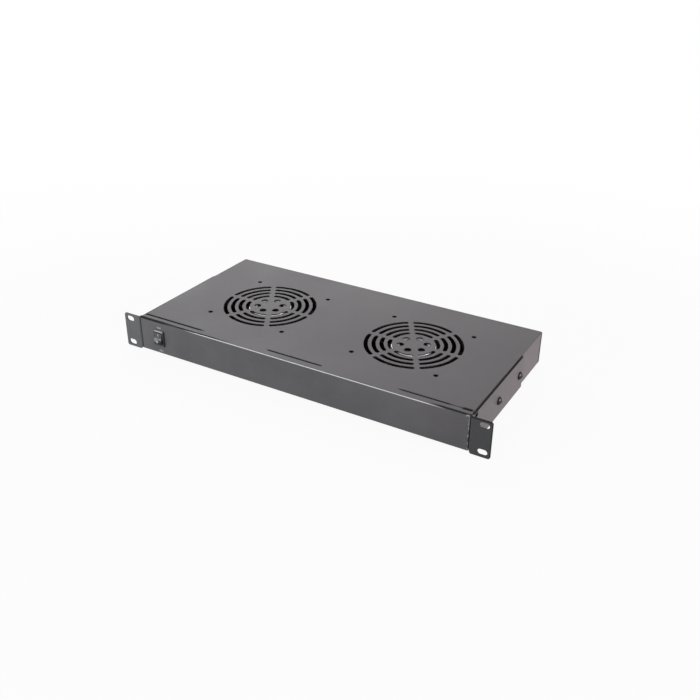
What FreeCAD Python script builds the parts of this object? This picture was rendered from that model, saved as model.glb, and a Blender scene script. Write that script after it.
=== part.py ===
import FreeCAD, Part

import math
import os

from FreeCAD import Vector

# Rack fan tray, one rack unit high, with two mains fans that blow down through an open underside.
# Millimetres. X runs to the right as seen from the front, Y towards the rear, Z up.
# The origin is the middle of the four rack slots, on the mounting plane, which is the ears' rear face.

# --- Rack ears: steel angles, one flange against the rack and one leg along the tray ---
rack_width = 482.6  # over both ears
ear_face = 24.3  # from the tray's side to the ear's outer edge
slot_from_edge = 8.75
slot_spacing_z = 31.75
slot_width = 6.8
slot_length = 11.0
ear_height = 44.0
ear_sheet = 1.5
ear_bend = 1.0  # inside radius
ear_corner = 2.5
leg_length = 149.5  # behind the mounting plane
leg_top_step = 1.0  # the leg's top is lower than the flange's
leg_bottom_step = 2.2  # the leg's bottom is higher than the flange's; also the flange's round there
leg_start = 3.0  # the top step begins this far behind the mounting plane
leg_corner = 5.0
leg_screw_from_end = 11.0
leg_screw_spacing = 63.0
jig_length = 6.5  # the obround hole that lines up ear, panel and tray
jig_width = 3.5
jig_from_seam = 1.5
jig_from_top = 5.0

# --- Tray housing: one folded sheet, open below ---
tray_depth = 217.0  # from the front panel's face to the rear flange's face
tray_height = 40.0
sheet = 1.2
bend = 0.4  # inside radius

# --- Front panel: a second folded sheet, butted to the top sheet and welded on two lands ---
panel_end_gap = 0.6  # at each ear
panel_height = 42.4
top_return = 11.0
bottom_return = 9.0
seam_gap = 1.0
land_start = 36.5
land_from_side = 86.5

# --- Fans ---
fan_spacing = 200.0
fan_size = 120.0
fan_depth = 38.0
fan_corner = 7.0
fan_hole_inset = 7.5
fan_hole_radius = 2.2
fan_flange = 4.5
fan_rim = 2.5  # between the bore and the fan's straight sides
bore_chamfer = 2.0
barrel_wall = 2.2
strut_width = 5.0
strut_height = 4.5
motor_plate_radius = 29.5
motor_plate = 3.0

# --- Punched grille over each fan ---
ring_first = 27.9
ring_inset = 2.0  # of the last ring's middle line, inside the fan's bore
ring_count = 4
ring_slot = 5.0
spoke_width = 5.2
spoke_count = 6
eye_radius = 15.5
eye_hole_radius = 4.3

# --- Motor and impeller ---
rotor_radius = 28.0
rotor_wall = 1.2
rotor_recess = 1.0  # the cup's top lies this far below the fan's upper face
rotor_round = 2.5
rotor_clearance = 1.2  # above the struts
air_gap = 0.4
cage_overlap = 1.0  # the cage is longer than the core by this at each end
cage_thickness = 5.2
core_below_cup = 6.6  # from the cup's inside down to the core
core_above_rim = 7.5  # from the cup's rim up to the core
core_ring = 3.4
pole_count = 4
pole_width = 6.0
shoe_depth = 3.2
shoe_angle = 74.0
coil_thickness = 3.0
coil_overhang = 3.6
shaft_radius = 1.5
shaft_boss = 3.9  # radius of the cup's boss round the shaft
shaft_end_gap = 1.1
bearing_radius = 5.0
bearing_width = 4.0
bearing_clearance = 0.03  # running fit on the shaft
tube_wall = 2.0
shoulder = 1.2
tube_above_core = 1.5
lower_bearing_height = 4.2  # its lower face above the fan's lower face
end_gap = 0.3
clip_radius = 3.5
clip_thickness = 0.6
clip_opening = 60.0
plug_radius = 6.5
plug_thickness = 1.1
fit_gap = 0.02  # between pieces that are pressed or slipped together
seat_gap = 0.3

hub_wall = 2.2
hub_step = 6.0  # the cup stands this far above the impeller's hub
blade_count = 7
blade_tip_gap = 1.0
blade_thickness = 2.2
blade_edge = 1.0
blade_camber = 0.09
blade_overrun = 4.0  # the loft runs this far past root and tip before it is trimmed
blade_angles = (46.0, 37.0, 29.0)  # root, middle and tip, from the plane of rotation
blade_chords = (29.0, 38.0, 46.0)
blade_skew = (0.0, 4.0, 10.0)
rest_turns = (10.0, 3.0)  # how far the left and the right impeller stand turned at rest

# --- Fan terminals ---
carrier_x = 26.0
carrier_length = 14.0
carrier_height = 7.0
tab_width = 2.8
tab_thickness = 0.5
tab_length = 7.0
tab_spacing = 6.0

# --- Wire finger guards under the fans ---
wire = 1.6
guard_first = 14.0
guard_inset = 0.5  # of the last ring, inside the fan's bore
guard_count = 5
eyelet_radius = 4.4

# --- Fasteners ---
m3_radius = 1.5
m3_head_radius = 2.9
m3_head_height = 1.8
m3_nut_flats = 5.5
m3_nut_height = 2.4
m4_radius = 2.0
m4_head_radius = 3.8
m4_head_height = 2.4
m4_nut_flats = 7.0
m4_nut_height = 3.2
m5_radius = 2.5
m5_hole_radius = 2.75
m5_head_radius = 4.75
m5_head_height = 3.7
m5_nut_flats = 8.0
m5_nut_height = 4.0
thread_gap = 0.05
thread_end = 0.8  # a screw stands this far out of its nut
head_rim = 0.38  # share of a domed head's height that is its upright rim
recess_reach = 0.52  # of a cross recess, as a share of the head's radius
recess_width = 0.9
recess_depth = 1.1
hexagon_turn = 60

# --- Power parts: the switch in the front panel and the inlet behind it in the rear flange ---
power_from_side = 29.0  # from the tray's left side to the middle of both
cutout_gap = 0.1

# --- Rocker switch ---
switch_body_width = 12.9
switch_body_height = 17.9
switch_body_depth = 14.0
bezel_lip = 1.05
bezel_thickness = 2.0
bezel_round = 0.6
switch_wall = 0.95
switch_end_wall = 1.45
rocker_gap = 0.25
rocker_pivot_depth = 1.5  # behind the bezel's face
rocker_proud = 0.2  # the pressed end stands this far before the bezel's face
rocker_throw = 30.0
rocker_dish = 5.0  # each half of the rocker's face leans this far towards its middle
rocker_tail = 2.5
pin_radius = 0.8
pin_length = 0.7
blade_terminal_width = 4.8
blade_terminal_thickness = 0.8
blade_terminal_length = 7.5
switch_terminal_spacing = 7.0

# --- Mains inlet ---
inlet_flange_width = 50.0
inlet_flange_height = 24.0
inlet_flange = 3.0
inlet_flange_round = 4.0
inlet_wall = 1.5
inlet_body_depth = 16.0
inlet_round = 2.0
socket_width = 24.4
socket_height = 16.6
socket_depth = 15.5
socket_chamfer = 4.0
inlet_screw_inset = 5.0
inlet_pin_width = 4.0
inlet_pin_thickness = 2.0
inlet_pin_spacing = 7.0
inlet_pin_offset = 2.0
inlet_pin_short = 2.5  # behind the flange's face

# --- Terminal block and earth stud on the rear flange, inside ---
stud_from_inlet = 36.0
block_from_inlet = 68.0
block_depth = 17.0
block_height = 15.0
block_way_first = 6.5  # from the block's middle
block_way_pitch = 8.0
block_end = 3.5  # beyond the last way
block_entry_radius = 2.0
block_entry_depth = 9.0  # of the wire bores, behind the block's face
block_pocket = 5.6
block_pocket_depth = 3.0
block_base = 4.0  # under the fixing nut
clamp_radius = 1.75
clamp_spacing = 7.0
stud_length = 12.0
washer_radius = 4.5
washer_thickness = 0.8

# --- Places that follow from the sizes ---
top = ear_height / 2
under = top - sheet
tray_bottom = top - tray_height
panel_front = -ear_sheet
panel_back = panel_front + sheet
seam = panel_front + top_return
rear = panel_front + tray_depth
rear_inside = rear - sheet
side = rack_width / 2 - ear_face
side_inside = side - sheet
leg_outside = side + ear_sheet
leg_bottom = leg_bottom_step - ear_height / 2
slot_x = rack_width / 2 - slot_from_edge
panel_half = side - panel_end_gap
panel_bottom = top - panel_height
jig_y = seam + jig_from_seam
jig_z = top - jig_from_top
fan_y = panel_front + tray_depth / 2
fan_top = under
fan_bottom = fan_top - fan_depth
fan_centres = (-fan_spacing / 2, fan_spacing / 2)
fan_hole = fan_size / 2 - fan_hole_inset
bore_radius = fan_size / 2 - fan_rim
barrel_radius = bore_radius + barrel_wall
strut_top = fan_bottom + strut_height
cup_top = fan_top - rotor_recess
cup_bottom = strut_top + rotor_clearance
cup_inside = cup_top - rotor_wall
cage_radius = rotor_radius - rotor_wall - fit_gap
core_radius = cage_radius - cage_thickness - air_gap
core_low = cup_bottom + core_above_rim
core_high = cup_inside - core_below_cup
tube_radius = bearing_radius + tube_wall
tube_top = core_high + tube_above_core
lower_bearing_low = fan_bottom + lower_bearing_height
guard_spoke_z = fan_bottom - wire / 2
guard_ring_z = guard_spoke_z - wire
eyelet_bottom = fan_bottom - wire
leg_screw_y = (leg_length - leg_screw_from_end - leg_screw_spacing, leg_length - leg_screw_from_end)
switch_x = power_from_side - side
switch_z = (top + panel_bottom) / 2
bezel_face = panel_front - bezel_thickness
pivot_y = bezel_face + rocker_pivot_depth
well_half_width = switch_body_width / 2 - switch_wall
well_half_height = switch_body_height / 2 - switch_end_wall
well_radius = math.hypot(well_half_height, rocker_pivot_depth)
rocker_half_width = well_half_width - rocker_gap
rocker_radius = well_radius - rocker_gap
inlet_x = power_from_side - side
inlet_z = (top + tray_bottom) / 2
inlet_body_width = socket_width + 2 * inlet_wall
inlet_body_height = socket_height + 2 * inlet_wall
inlet_screw = inlet_flange_width / 2 - inlet_screw_inset
stud_x = inlet_x + stud_from_inlet
block_x = inlet_x + block_from_inlet
block_last = block_way_first + block_way_pitch
block_ways = (-block_last, -block_way_first, block_way_first, block_last)
block_half_width = block_last + block_end


def box(x0, x1, y0, y1, z0, z1):
    return Part.makeBox(x1 - x0, y1 - y0, z1 - z0, Vector(x0, y0, z0))


def rod(radius, z0, z1, x=0.0, y=0.0):
    return Part.makeCylinder(radius, z1 - z0, Vector(x, y, z0))


def tube(outer, inner, z0, z1):
    return rod(outer, z0, z1).cut(rod(inner, z0, z1))


def moved(shape, x=0.0, y=0.0, z=0.0):
    copy = shape.copy()
    copy.translate(Vector(x, y, z))
    return copy


def turned(shape, degrees):
    copy = shape.copy()
    copy.rotate(Vector(0, 0, 0), Vector(0, 0, 1), degrees)
    return copy


def mirrored(shape):
    return shape.mirror(Vector(0, 0, 0), Vector(1, 0, 0))


def evenly(first, last, count):
    return [first + (last - first) * k / (count - 1) for k in range(count)]


def aimed(shape, place, direction):
    """The shape, drawn along +Z from the origin, set at a place and pointed along a direction."""
    copy = shape.copy()
    copy.Placement = FreeCAD.Placement(place, FreeCAD.Rotation(Vector(0, 0, 1), direction))
    return copy


def fused(shapes):
    return shapes[0].multiFuse(shapes[1:]).removeSplitter()


def group(shapes):
    return Part.makeCompound(shapes)


def rounded_path(points, radius):
    """Edges along points, with an arc of the radius at every inner point."""
    edges = []
    start = points[0]
    for before, corner, after in zip(points, points[1:], points[2:]):
        inward = (before - corner).normalize()
        outward = (after - corner).normalize()
        half = inward.getAngle(outward) / 2
        reach = radius / math.tan(half)
        first = corner + inward * reach
        last = corner + outward * reach
        bisector = (inward + outward).normalize()
        middle = corner + bisector * (radius / math.sin(half) - radius)
        edges.append(Part.makeLine(start, first))
        edges.append(Part.Arc(first, middle, last).toShape())
        start = last
    edges.append(Part.makeLine(start, points[-1]))
    return edges


def folded(points, thickness, inside_radius, normal, run):
    """A sheet folded along its outside line and extruded by run. Normal x direction is its inner side."""
    inner = []
    for i, point in enumerate(points):
        sides = []
        if i > 0:
            sides.append(normal.cross((point - points[i - 1]).normalize()))
        if i < len(points) - 1:
            sides.append(normal.cross((points[i + 1] - point).normalize()))
        shift = sides[0]
        if len(sides) == 2:
            shift = sides[0] + sides[1]
        inner.append(point + shift * thickness)
    edges = rounded_path(points, inside_radius + thickness)
    edges.append(Part.makeLine(points[-1], inner[-1]))
    edges.extend(rounded_path(inner, inside_radius))
    edges.append(Part.makeLine(inner[0], points[0]))
    face = Part.Face(Part.Wire(Part.__sortEdges__(edges)))
    return face.extrude(run)


def upright_rounded(solid, radius):
    """A block with its four Z edges rounded."""
    edges = []
    for edge in solid.Edges:
        ends = edge.Vertexes
        if abs(ends[0].Point.z - ends[-1].Point.z) > fit_gap:
            edges.append(edge)
    return solid.makeFillet(radius, edges)


def across_corners(flats):
    return flats / math.cos(math.radians(hexagon_turn / 2))


def hexagon_nut(flats, height, hole):
    corner = Vector(across_corners(flats) / 2, 0, 0)
    points = []
    for angle in range(0, 360 + hexagon_turn, hexagon_turn):
        points.append(FreeCAD.Rotation(Vector(0, 0, 1), angle).multVec(corner))
    prism = Part.Face(Part.makePolygon(points)).extrude(Vector(0, 0, height))
    return prism.cut(rod(hole, 0, height))


def cross_outline(reach, z):
    """A plus shape around the axis."""
    half = recess_width / 2
    arm = [Vector(reach, -half, z), Vector(reach, half, z), Vector(half, half, z)]
    points = []
    for quarter in range(4):
        turn = FreeCAD.Rotation(Vector(0, 0, 1), 90 * quarter)
        points.extend([turn.multVec(point) for point in arm])
    return Part.makePolygon(points + points[:1])


def cross_recess(head_radius, z):
    """The tool for a cross recess that narrows downwards from a head's highest point."""
    reach = head_radius * recess_reach
    return Part.makeLoft([cross_outline(reach, z), cross_outline(recess_width, z - recess_depth)], True, True)


def domed_screw(radius, head_radius, head_height, length):
    """Head above Z 0, shank below it."""
    rim = head_height * head_rim
    dome = (head_radius**2 + (head_height - rim) ** 2) / (2 * (head_height - rim))
    angle = math.asin(head_radius / dome) / 2
    crown = Vector(0, 0, head_height)
    middle = Vector(dome * math.sin(angle), 0, head_height - dome + dome * math.cos(angle))
    shoulder_point = Vector(head_radius, 0, rim)
    edges = [
        Part.Arc(crown, middle, shoulder_point).toShape(),
        Part.makeLine(shoulder_point, Vector(head_radius, 0, 0)),
        Part.makeLine(Vector(head_radius, 0, 0), Vector(radius, 0, 0)),
        Part.makeLine(Vector(radius, 0, 0), Vector(radius, 0, -length)),
        Part.makeLine(Vector(radius, 0, -length), Vector(0, 0, -length)),
        Part.makeLine(Vector(0, 0, -length), crown),
    ]
    screw = Part.Face(Part.Wire(edges)).revolve(Vector(0, 0, 0), Vector(0, 0, 1), 360)
    return screw.cut(cross_recess(head_radius, head_height))


def flat_screw(radius, head_radius, length):
    """A countersunk screw: head face at Z 0, the rest below it."""
    cone = head_radius - radius
    head = Part.makeCone(radius, head_radius, cone, Vector(0, 0, -cone))
    return head.fuse(rod(radius, -length, -cone)).cut(cross_recess(head_radius, 0))


def countersink(radius, depth):
    """The tool for a 90 degree countersunk hole through a sheet of the depth, from Z 0 down."""
    return Part.makeCone(radius - depth, radius, depth, Vector(0, 0, -depth))


def cutout(x, z, width, height, y0, y1):
    """The tool for a square hole in a sheet, for a body of the width and height."""
    half_width = width / 2 + cutout_gap
    half_height = height / 2 + cutout_gap
    return box(x - half_width, x + half_width, y0, y1, z - half_height, z + half_height)


def fan_corners():
    return [(x, y) for x in (-fan_hole, fan_hole) for y in (-fan_hole, fan_hole)]


# --- Sheet metal ---


def ring_slot_tool(radius):
    """One arc slot of the grille, with round ends, from the spoke at 0 degrees to the next spoke."""
    half = ring_slot / 2
    start = math.asin((spoke_width / 2 + half) / radius)
    end = math.radians(360 / spoke_count) - start
    middle = (start + end) / 2

    def at(distance, angle):
        return Vector(distance * math.cos(angle), distance * math.sin(angle), 0)

    def cap(angle, side_sign):
        outward = Vector(-math.sin(angle), math.cos(angle), 0) * (side_sign * half)
        return at(radius, angle) + outward

    edges = [
        Part.Arc(at(radius + half, start), at(radius + half, middle), at(radius + half, end)).toShape(),
        Part.Arc(at(radius + half, end), cap(end, 1), at(radius - half, end)).toShape(),
        Part.Arc(at(radius - half, end), at(radius - half, middle), at(radius - half, start)).toShape(),
        Part.Arc(at(radius - half, start), cap(start, -1), at(radius + half, start)).toShape(),
    ]
    return Part.Face(Part.Wire(edges)).extrude(Vector(0, 0, sheet))


def grille_tools(x):
    """Everything punched in the top sheet over one fan."""
    pitch = 360 / spoke_count
    tools = []
    for k in range(spoke_count):
        for radius in evenly(ring_first, bore_radius - ring_inset, ring_count):
            tools.append(turned(ring_slot_tool(radius), k * pitch))
        tools.append(turned(rod(eye_hole_radius, 0, sheet, eye_radius), (k + 0.5) * pitch))
    for cx, cy in fan_corners():
        tools.append(moved(countersink(m3_head_radius + thread_gap, sheet), cx, cy, sheet))
    return [moved(tool, x, fan_y, under) for tool in tools]


def across(shape, x, y, z):
    """The shape, drawn along +Z about the origin, laid along X at a place."""
    return aimed(shape, Vector(x, y, z), Vector(1, 0, 0))


def side_hole_tools():
    """Both screw holes and the jig hole, through everything at the right and the left side."""
    reach = panel_end_gap + sheet + ear_sheet
    half = jig_width / 2
    jig_ends = (jig_y - jig_length / 2 + half, jig_y + jig_length / 2 - half)
    tools = []
    for x in (-side, side):
        for y in leg_screw_y:
            tools.append(across(rod(m5_hole_radius, -reach, reach), x, y, 0))
        tools.append(box(x - reach, x + reach, jig_ends[0], jig_ends[1], jig_z - half, jig_z + half))
        for y in jig_ends:
            tools.append(across(rod(half, -reach, reach), x, y, jig_z))
    return tools


def tray_housing():
    corner = bend + sheet
    outline = [
        Vector(-side, seam, tray_bottom),
        Vector(-side, seam, top),
        Vector(side, seam, top),
        Vector(side, seam, tray_bottom),
    ]
    channel = folded(outline, sheet, bend, Vector(0, 1, 0), Vector(0, rear - corner - seam, 0))
    rear_line = [
        Vector(corner - side, rear - corner - sheet, top),
        Vector(corner - side, rear, top),
        Vector(corner - side, rear, tray_bottom),
    ]
    flange = folded(rear_line, sheet, bend, Vector(-1, 0, 0), Vector(2 * (side - corner), 0, 0))
    body = fused([channel, flange])
    tools = side_hole_tools()
    for x in fan_centres:
        tools.extend(grille_tools(x))
    tools.append(cutout(inlet_x, inlet_z, inlet_body_width, inlet_body_height, rear_inside, rear))
    for x in rear_screw_places():
        hole = rod(m3_radius + thread_gap, -sheet, 0)
        tools.append(aimed(hole, Vector(x, rear, inlet_z), Vector(0, 1, 0)))
    return body.cut(tools)


def inlet_screw_places():
    return [inlet_x - inlet_screw, inlet_x + inlet_screw]


def rear_screw_places():
    return inlet_screw_places() + [block_x]


def front_panel():
    """The face with its returns above and below, and a bent end at each side under the top return."""
    corner = bend + sheet
    inner = panel_half - corner
    face_line = [
        Vector(-panel_half, seam, top),
        Vector(-panel_half, panel_front, top),
        Vector(-panel_half, panel_front, panel_bottom),
        Vector(-panel_half, panel_front + bottom_return, panel_bottom),
    ]
    face = folded(face_line, sheet, bend, Vector(1, 0, 0), Vector(2 * panel_half, 0, 0))
    strip = box(inner, panel_half, panel_front, seam, panel_bottom + corner, top - corner)
    face = face.cut([strip, mirrored(strip)])
    end_line = [
        Vector(inner - sheet, panel_front, panel_bottom + sheet),
        Vector(panel_half, panel_front, panel_bottom + sheet),
        Vector(panel_half, seam - seam_gap, panel_bottom + sheet),
    ]
    end = folded(end_line, sheet, bend, Vector(0, 0, 1), Vector(0, 0, panel_height - 2 * sheet))
    body = fused([face, end, mirrored(end)])
    land_end = side - land_from_side
    tools = side_hole_tools()
    for x0, x1 in ((-panel_half, -land_end), (-land_start, land_start), (land_end, panel_half)):
        tools.append(box(x0, x1, seam - seam_gap, seam, under, top))
    tools.append(cutout(switch_x, switch_z, switch_body_width, switch_body_height, panel_front, panel_back))
    return body.cut(tools)


def rack_slot_tool(z):
    straight = (slot_length - slot_width) / 2
    tool = box(slot_x - straight, slot_x + straight, -ear_sheet, 0, z - slot_width / 2, z + slot_width / 2)
    for end in (slot_x - straight, slot_x + straight):
        round_end = rod(slot_width / 2, 0, ear_sheet)
        tool = tool.fuse(aimed(round_end, Vector(end, 0, z), Vector(0, -1, 0)))
    return tool


def edges_near(shape, x, z, y=None):
    """The edges whose middle lies within a quarter of the ear's sheet of the place."""
    near = []
    for edge in shape.Edges:
        middle = edge.CenterOfMass
        misses = [middle.x - x, middle.z - z]
        if y is not None:
            misses.append(middle.y - y)
        if max(abs(miss) for miss in misses) < ear_sheet / 4:
            near.append(edge)
    return near


def rack_ear():
    """The right ear; the left one is its mirror image."""
    half = ear_height / 2
    outer = rack_width / 2
    line = [
        Vector(outer, -ear_sheet, -half),
        Vector(side, -ear_sheet, -half),
        Vector(side, leg_length, -half),
    ]
    ear = folded(line, ear_sheet, ear_bend, Vector(0, 0, -1), Vector(0, 0, ear_height))
    ear = ear.cut(
        [
            box(side, leg_outside, leg_start, leg_length, half - leg_top_step, half),
            box(side, leg_outside, -ear_sheet, leg_length, -half, leg_bottom),
        ]
    )
    flange_corners = edges_near(ear, outer, half) + edges_near(ear, outer, -half)
    ear = ear.makeFillet(ear_corner, flange_corners)
    ear = ear.makeFillet(leg_corner, edges_near(ear, side + ear_sheet / 2, half - leg_top_step, leg_length))
    tools = side_hole_tools()
    round_x = leg_outside + leg_bottom_step
    square = box(leg_outside, round_x, -ear_sheet, ear_bend, -half, leg_bottom)
    disc = Part.makeCylinder(
        leg_bottom_step, ear_sheet + ear_bend, Vector(round_x, -ear_sheet, leg_bottom), Vector(0, 1, 0)
    )
    tools.append(square.cut(disc))
    for sign in (-1, 1):
        tools.append(rack_slot_tool(sign * slot_spacing_z / 2))
    return ear.cut(tools)


# --- Fasteners of the sheet metal ---


def leg_screw_places():
    """Each screw's outward direction and its place along the leg."""
    return [(Vector(sign, 0, 0), Vector(0, y, 0)) for sign in (-1, 1) for y in leg_screw_y]


def ear_screws():
    length = ear_sheet + sheet + m5_nut_height + thread_end
    screw = domed_screw(m5_radius, m5_head_radius, m5_head_height, length)
    return group([aimed(screw, place * leg_outside + offset, place) for place, offset in leg_screw_places()])


def ear_nuts():
    nut = hexagon_nut(m5_nut_flats, m5_nut_height, m5_radius + thread_gap)
    return group([aimed(nut, place * side_inside + offset, -place) for place, offset in leg_screw_places()])


def fan_places():
    """The centres of all eight fan corners."""
    return [(x + cx, fan_y + cy) for x in fan_centres for cx, cy in fan_corners()]


def fan_screws():
    length = sheet + fan_flange + m3_nut_height + thread_end
    screw = flat_screw(m3_radius, m3_head_radius, length)
    return group([moved(screw, x, y, top) for x, y in fan_places()])


def fan_nuts():
    nut = hexagon_nut(m3_nut_flats, m3_nut_height, m3_radius + thread_gap)
    return group([moved(nut, x, y, fan_top - fan_flange - m3_nut_height) for x, y in fan_places()])


def guard_screws():
    length = wire + fan_flange + m4_nut_height + thread_end
    screw = domed_screw(m4_radius, m4_head_radius, m4_head_height, length)
    return group([aimed(screw, Vector(x, y, eyelet_bottom), Vector(0, 0, -1)) for x, y in fan_places()])


def guard_nuts():
    nut = hexagon_nut(m4_nut_flats, m4_nut_height, m4_radius + thread_gap)
    return group([moved(nut, x, y, fan_bottom + fan_flange) for x, y in fan_places()])


# --- Fan: each piece is drawn about the fan's own axis and then set at both places ---


def fan_frame():
    half = fan_size / 2
    plate = upright_rounded(box(-half, half, -half, half, 0, fan_flange), fan_corner)
    shell = fused(
        [
            moved(plate, z=fan_bottom),
            rod(barrel_radius, fan_bottom, fan_top),
            moved(plate, z=fan_top - fan_flange),
        ]
    )
    flare = Part.makeCone(
        bore_radius, bore_radius + bore_chamfer, bore_chamfer, Vector(0, 0, fan_top - bore_chamfer)
    )
    tools = [rod(bore_radius, fan_bottom, fan_top), flare]
    for x, y in fan_corners():
        tools.append(rod(fan_hole_radius, fan_bottom, fan_top, x, y))
    shell = shell.cut(tools)
    motor = [
        rod(motor_plate_radius, fan_bottom, fan_bottom + motor_plate),
        rod(tube_radius, fan_bottom, tube_top),
    ]
    reach = bore_radius + barrel_wall / 2
    half_strut = strut_width / 2
    strut = box(motor_plate_radius - motor_plate, reach, -half_strut, half_strut, fan_bottom, strut_top)
    for quarter in range(4):
        motor.append(turned(strut, 45 + 90 * quarter))
    frame = fused([shell] + motor)
    seat = bearing_radius + fit_gap
    bores = [
        rod(seat, fan_bottom + plug_thickness, lower_bearing_low + bearing_width),
        rod(bearing_radius - shoulder, lower_bearing_low + bearing_width, tube_top - bearing_width),
        rod(seat, tube_top - bearing_width, tube_top),
        rod(plug_radius, fan_bottom, fan_bottom + plug_thickness),
    ]
    return frame.cut(bores)


def bearings():
    ring = tube(bearing_radius, shaft_radius + bearing_clearance, 0, bearing_width)
    return [moved(ring, z=lower_bearing_low), moved(ring, z=tube_top - bearing_width)]


def bearing_plug():
    return rod(plug_radius - fit_gap, fan_bottom, fan_bottom + plug_thickness - fit_gap)


def stator_core():
    inner = tube_radius + fit_gap
    pieces = [tube(inner + core_ring, inner, core_low, core_high)]
    shoe_inner = core_radius - shoe_depth
    half = pole_width / 2
    arm = box(inner + core_ring / 2, core_radius - shoe_depth / 2, -half, half, core_low, core_high)
    slice_angle = 360 / pole_count
    gap = (slice_angle - shoe_angle) / 2
    height = core_high - core_low
    shoe = Part.makeCylinder(core_radius, height, Vector(0, 0, core_low), Vector(0, 0, 1), shoe_angle)
    shoe = shoe.cut(rod(shoe_inner, core_low, core_high))
    shoe = turned(shoe, gap - slice_angle / 2)
    for k in range(pole_count):
        pieces.append(turned(arm, k * slice_angle))
        pieces.append(turned(shoe, k * slice_angle))
    return fused(pieces)


def stator_coils():
    inner = tube_radius + fit_gap + core_ring + fit_gap
    width = pole_width / 2 + fit_gap
    wide = width + coil_thickness
    outer = math.sqrt((core_radius - shoe_depth) ** 2 - wide**2) - fit_gap
    low = core_low - fit_gap
    high = core_high + fit_gap
    block = box(inner + fit_gap, outer, -wide, wide, low - coil_overhang, high + coil_overhang)
    edges = []
    for edge in block.Edges:
        ends = edge.Vertexes
        if abs(ends[0].Point.x - ends[-1].Point.x) > fit_gap:
            edges.append(edge)
    coil = block.makeFillet(coil_thickness / 2, edges).cut(box(0, outer, -width, width, low, high))
    return [turned(coil, k * 360 / pole_count) for k in range(pole_count)]


def top_rounded(cylinder, z, radius):
    """A cylinder with the round edge at its upper end rounded."""
    rim = []
    for edge in cylinder.Edges:
        if len(edge.Vertexes) == 1 and abs(edge.CenterOfMass.z - z) < fit_gap:
            rim.append(edge)
    return cylinder.makeFillet(radius, rim)


def rotor_cup():
    body = top_rounded(rod(rotor_radius, cup_bottom, cup_top), cup_top, rotor_round)
    hollow = rod(rotor_radius - rotor_wall, cup_bottom, cup_inside)
    body = body.cut(top_rounded(hollow, cup_inside, rotor_round - rotor_wall))
    boss_low = tube_top + end_gap
    body = body.fuse(rod(shaft_boss, boss_low, cup_top - rotor_wall / 2))
    return body.cut(rod(shaft_radius + fit_gap, boss_low, cup_inside)).removeSplitter()


def rotor_cage():
    return tube(cage_radius, cage_radius - cage_thickness, core_low - cage_overlap, core_high + cage_overlap)


def shaft():
    return rod(shaft_radius, fan_bottom + plug_thickness + shaft_end_gap, cup_inside)


def shaft_clip():
    high = lower_bearing_low - end_gap
    low = high - clip_thickness
    ring = tube(clip_radius, shaft_radius + fit_gap, low, high)
    reach = clip_radius + fit_gap
    gap = Part.makeCylinder(reach, clip_thickness, Vector(0, 0, low), Vector(0, 0, 1), clip_opening)
    return ring.cut(gap)


def blade_section(radius, angle, chord, skew):
    """The blade's outline on a flat plane off the axis: two shallow arcs and two short edges."""
    slope = math.radians(angle)
    half = chord / 2
    rise = chord * blade_camber
    edge = blade_edge / 2
    thick = blade_thickness / 2

    def at(along, across):
        y = along * math.cos(slope) - across * math.sin(slope)
        z = along * math.sin(slope) + across * math.cos(slope)
        return Vector(radius, y, z)

    edges = [
        Part.Arc(at(-half, edge), at(0, rise + thick), at(half, edge)).toShape(),
        Part.makeLine(at(half, edge), at(half, -edge)),
        Part.Arc(at(half, -edge), at(0, rise - thick), at(-half, -edge)).toShape(),
        Part.makeLine(at(-half, -edge), at(-half, edge)),
    ]
    return turned(Part.Wire(edges), skew)


def impeller():
    hub_inner = rotor_radius + fit_gap
    hub_radius = hub_inner + hub_wall
    hub_low = cup_bottom
    hub_high = cup_top - hub_step
    middle = (hub_low + hub_high) / 2
    tip = bore_radius - blade_tip_gap
    planes = evenly(rotor_radius - blade_overrun, tip + blade_overrun, len(blade_angles))
    sections = []
    for radius, angle, chord, skew in zip(planes, blade_angles, blade_chords, blade_skew):
        sections.append(blade_section(radius, angle, chord, skew))
    blade = Part.makeLoft(sections, True, False)
    blade = moved(blade, z=middle)
    keep = tube(tip, hub_inner + hub_wall / 2, fan_bottom, fan_top)
    blade = blade.common(keep)
    hub = tube(hub_radius, hub_inner, hub_low, hub_high)
    blades = [turned(blade, k * 360 / blade_count) for k in range(blade_count)]
    return fused([hub] + blades)


def terminal_carrier():
    y = math.sqrt(barrel_radius**2 - carrier_x**2) + seat_gap
    low = fan_bottom + fan_flange
    return box(carrier_x, carrier_x + carrier_length, y, fan_size / 2, low, low + carrier_height)


def terminal_tabs():
    middle = carrier_x + carrier_length / 2
    z = fan_bottom + fan_flange + carrier_height / 2
    tabs = []
    for sign in (-1, 1):
        x = middle + sign * tab_spacing / 2
        tab = box(
            x - tab_width / 2,
            x + tab_width / 2,
            fan_size / 2,
            fan_size / 2 + tab_length,
            z - tab_thickness / 2,
            z + tab_thickness / 2,
        )
        tabs.append(tab)
    return tabs


def finger_guard():
    """Rings welded under four radial wires, each of which ends in an eyelet."""
    reach = math.hypot(fan_hole, fan_hole)
    start = guard_first - wire
    length = reach - eyelet_radius + wire / 2 - start
    spoke = Part.makeCylinder(wire / 2, length, Vector(start, 0, guard_spoke_z), Vector(1, 0, 0))
    eyelet = moved(rod(eyelet_radius, -wire, 0), reach, 0, fan_bottom)
    arm = spoke.fuse(eyelet).cut(rod(m4_radius + thread_gap, eyelet_bottom, fan_bottom, reach))
    pieces = [turned(arm, 45 + 90 * quarter) for quarter in range(4)]
    for radius in evenly(guard_first, bore_radius - guard_inset, guard_count):
        pieces.append(Part.makeTorus(radius, wire / 2, Vector(0, 0, guard_ring_z)))
    return pieces


# --- Rocker switch ---


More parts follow.
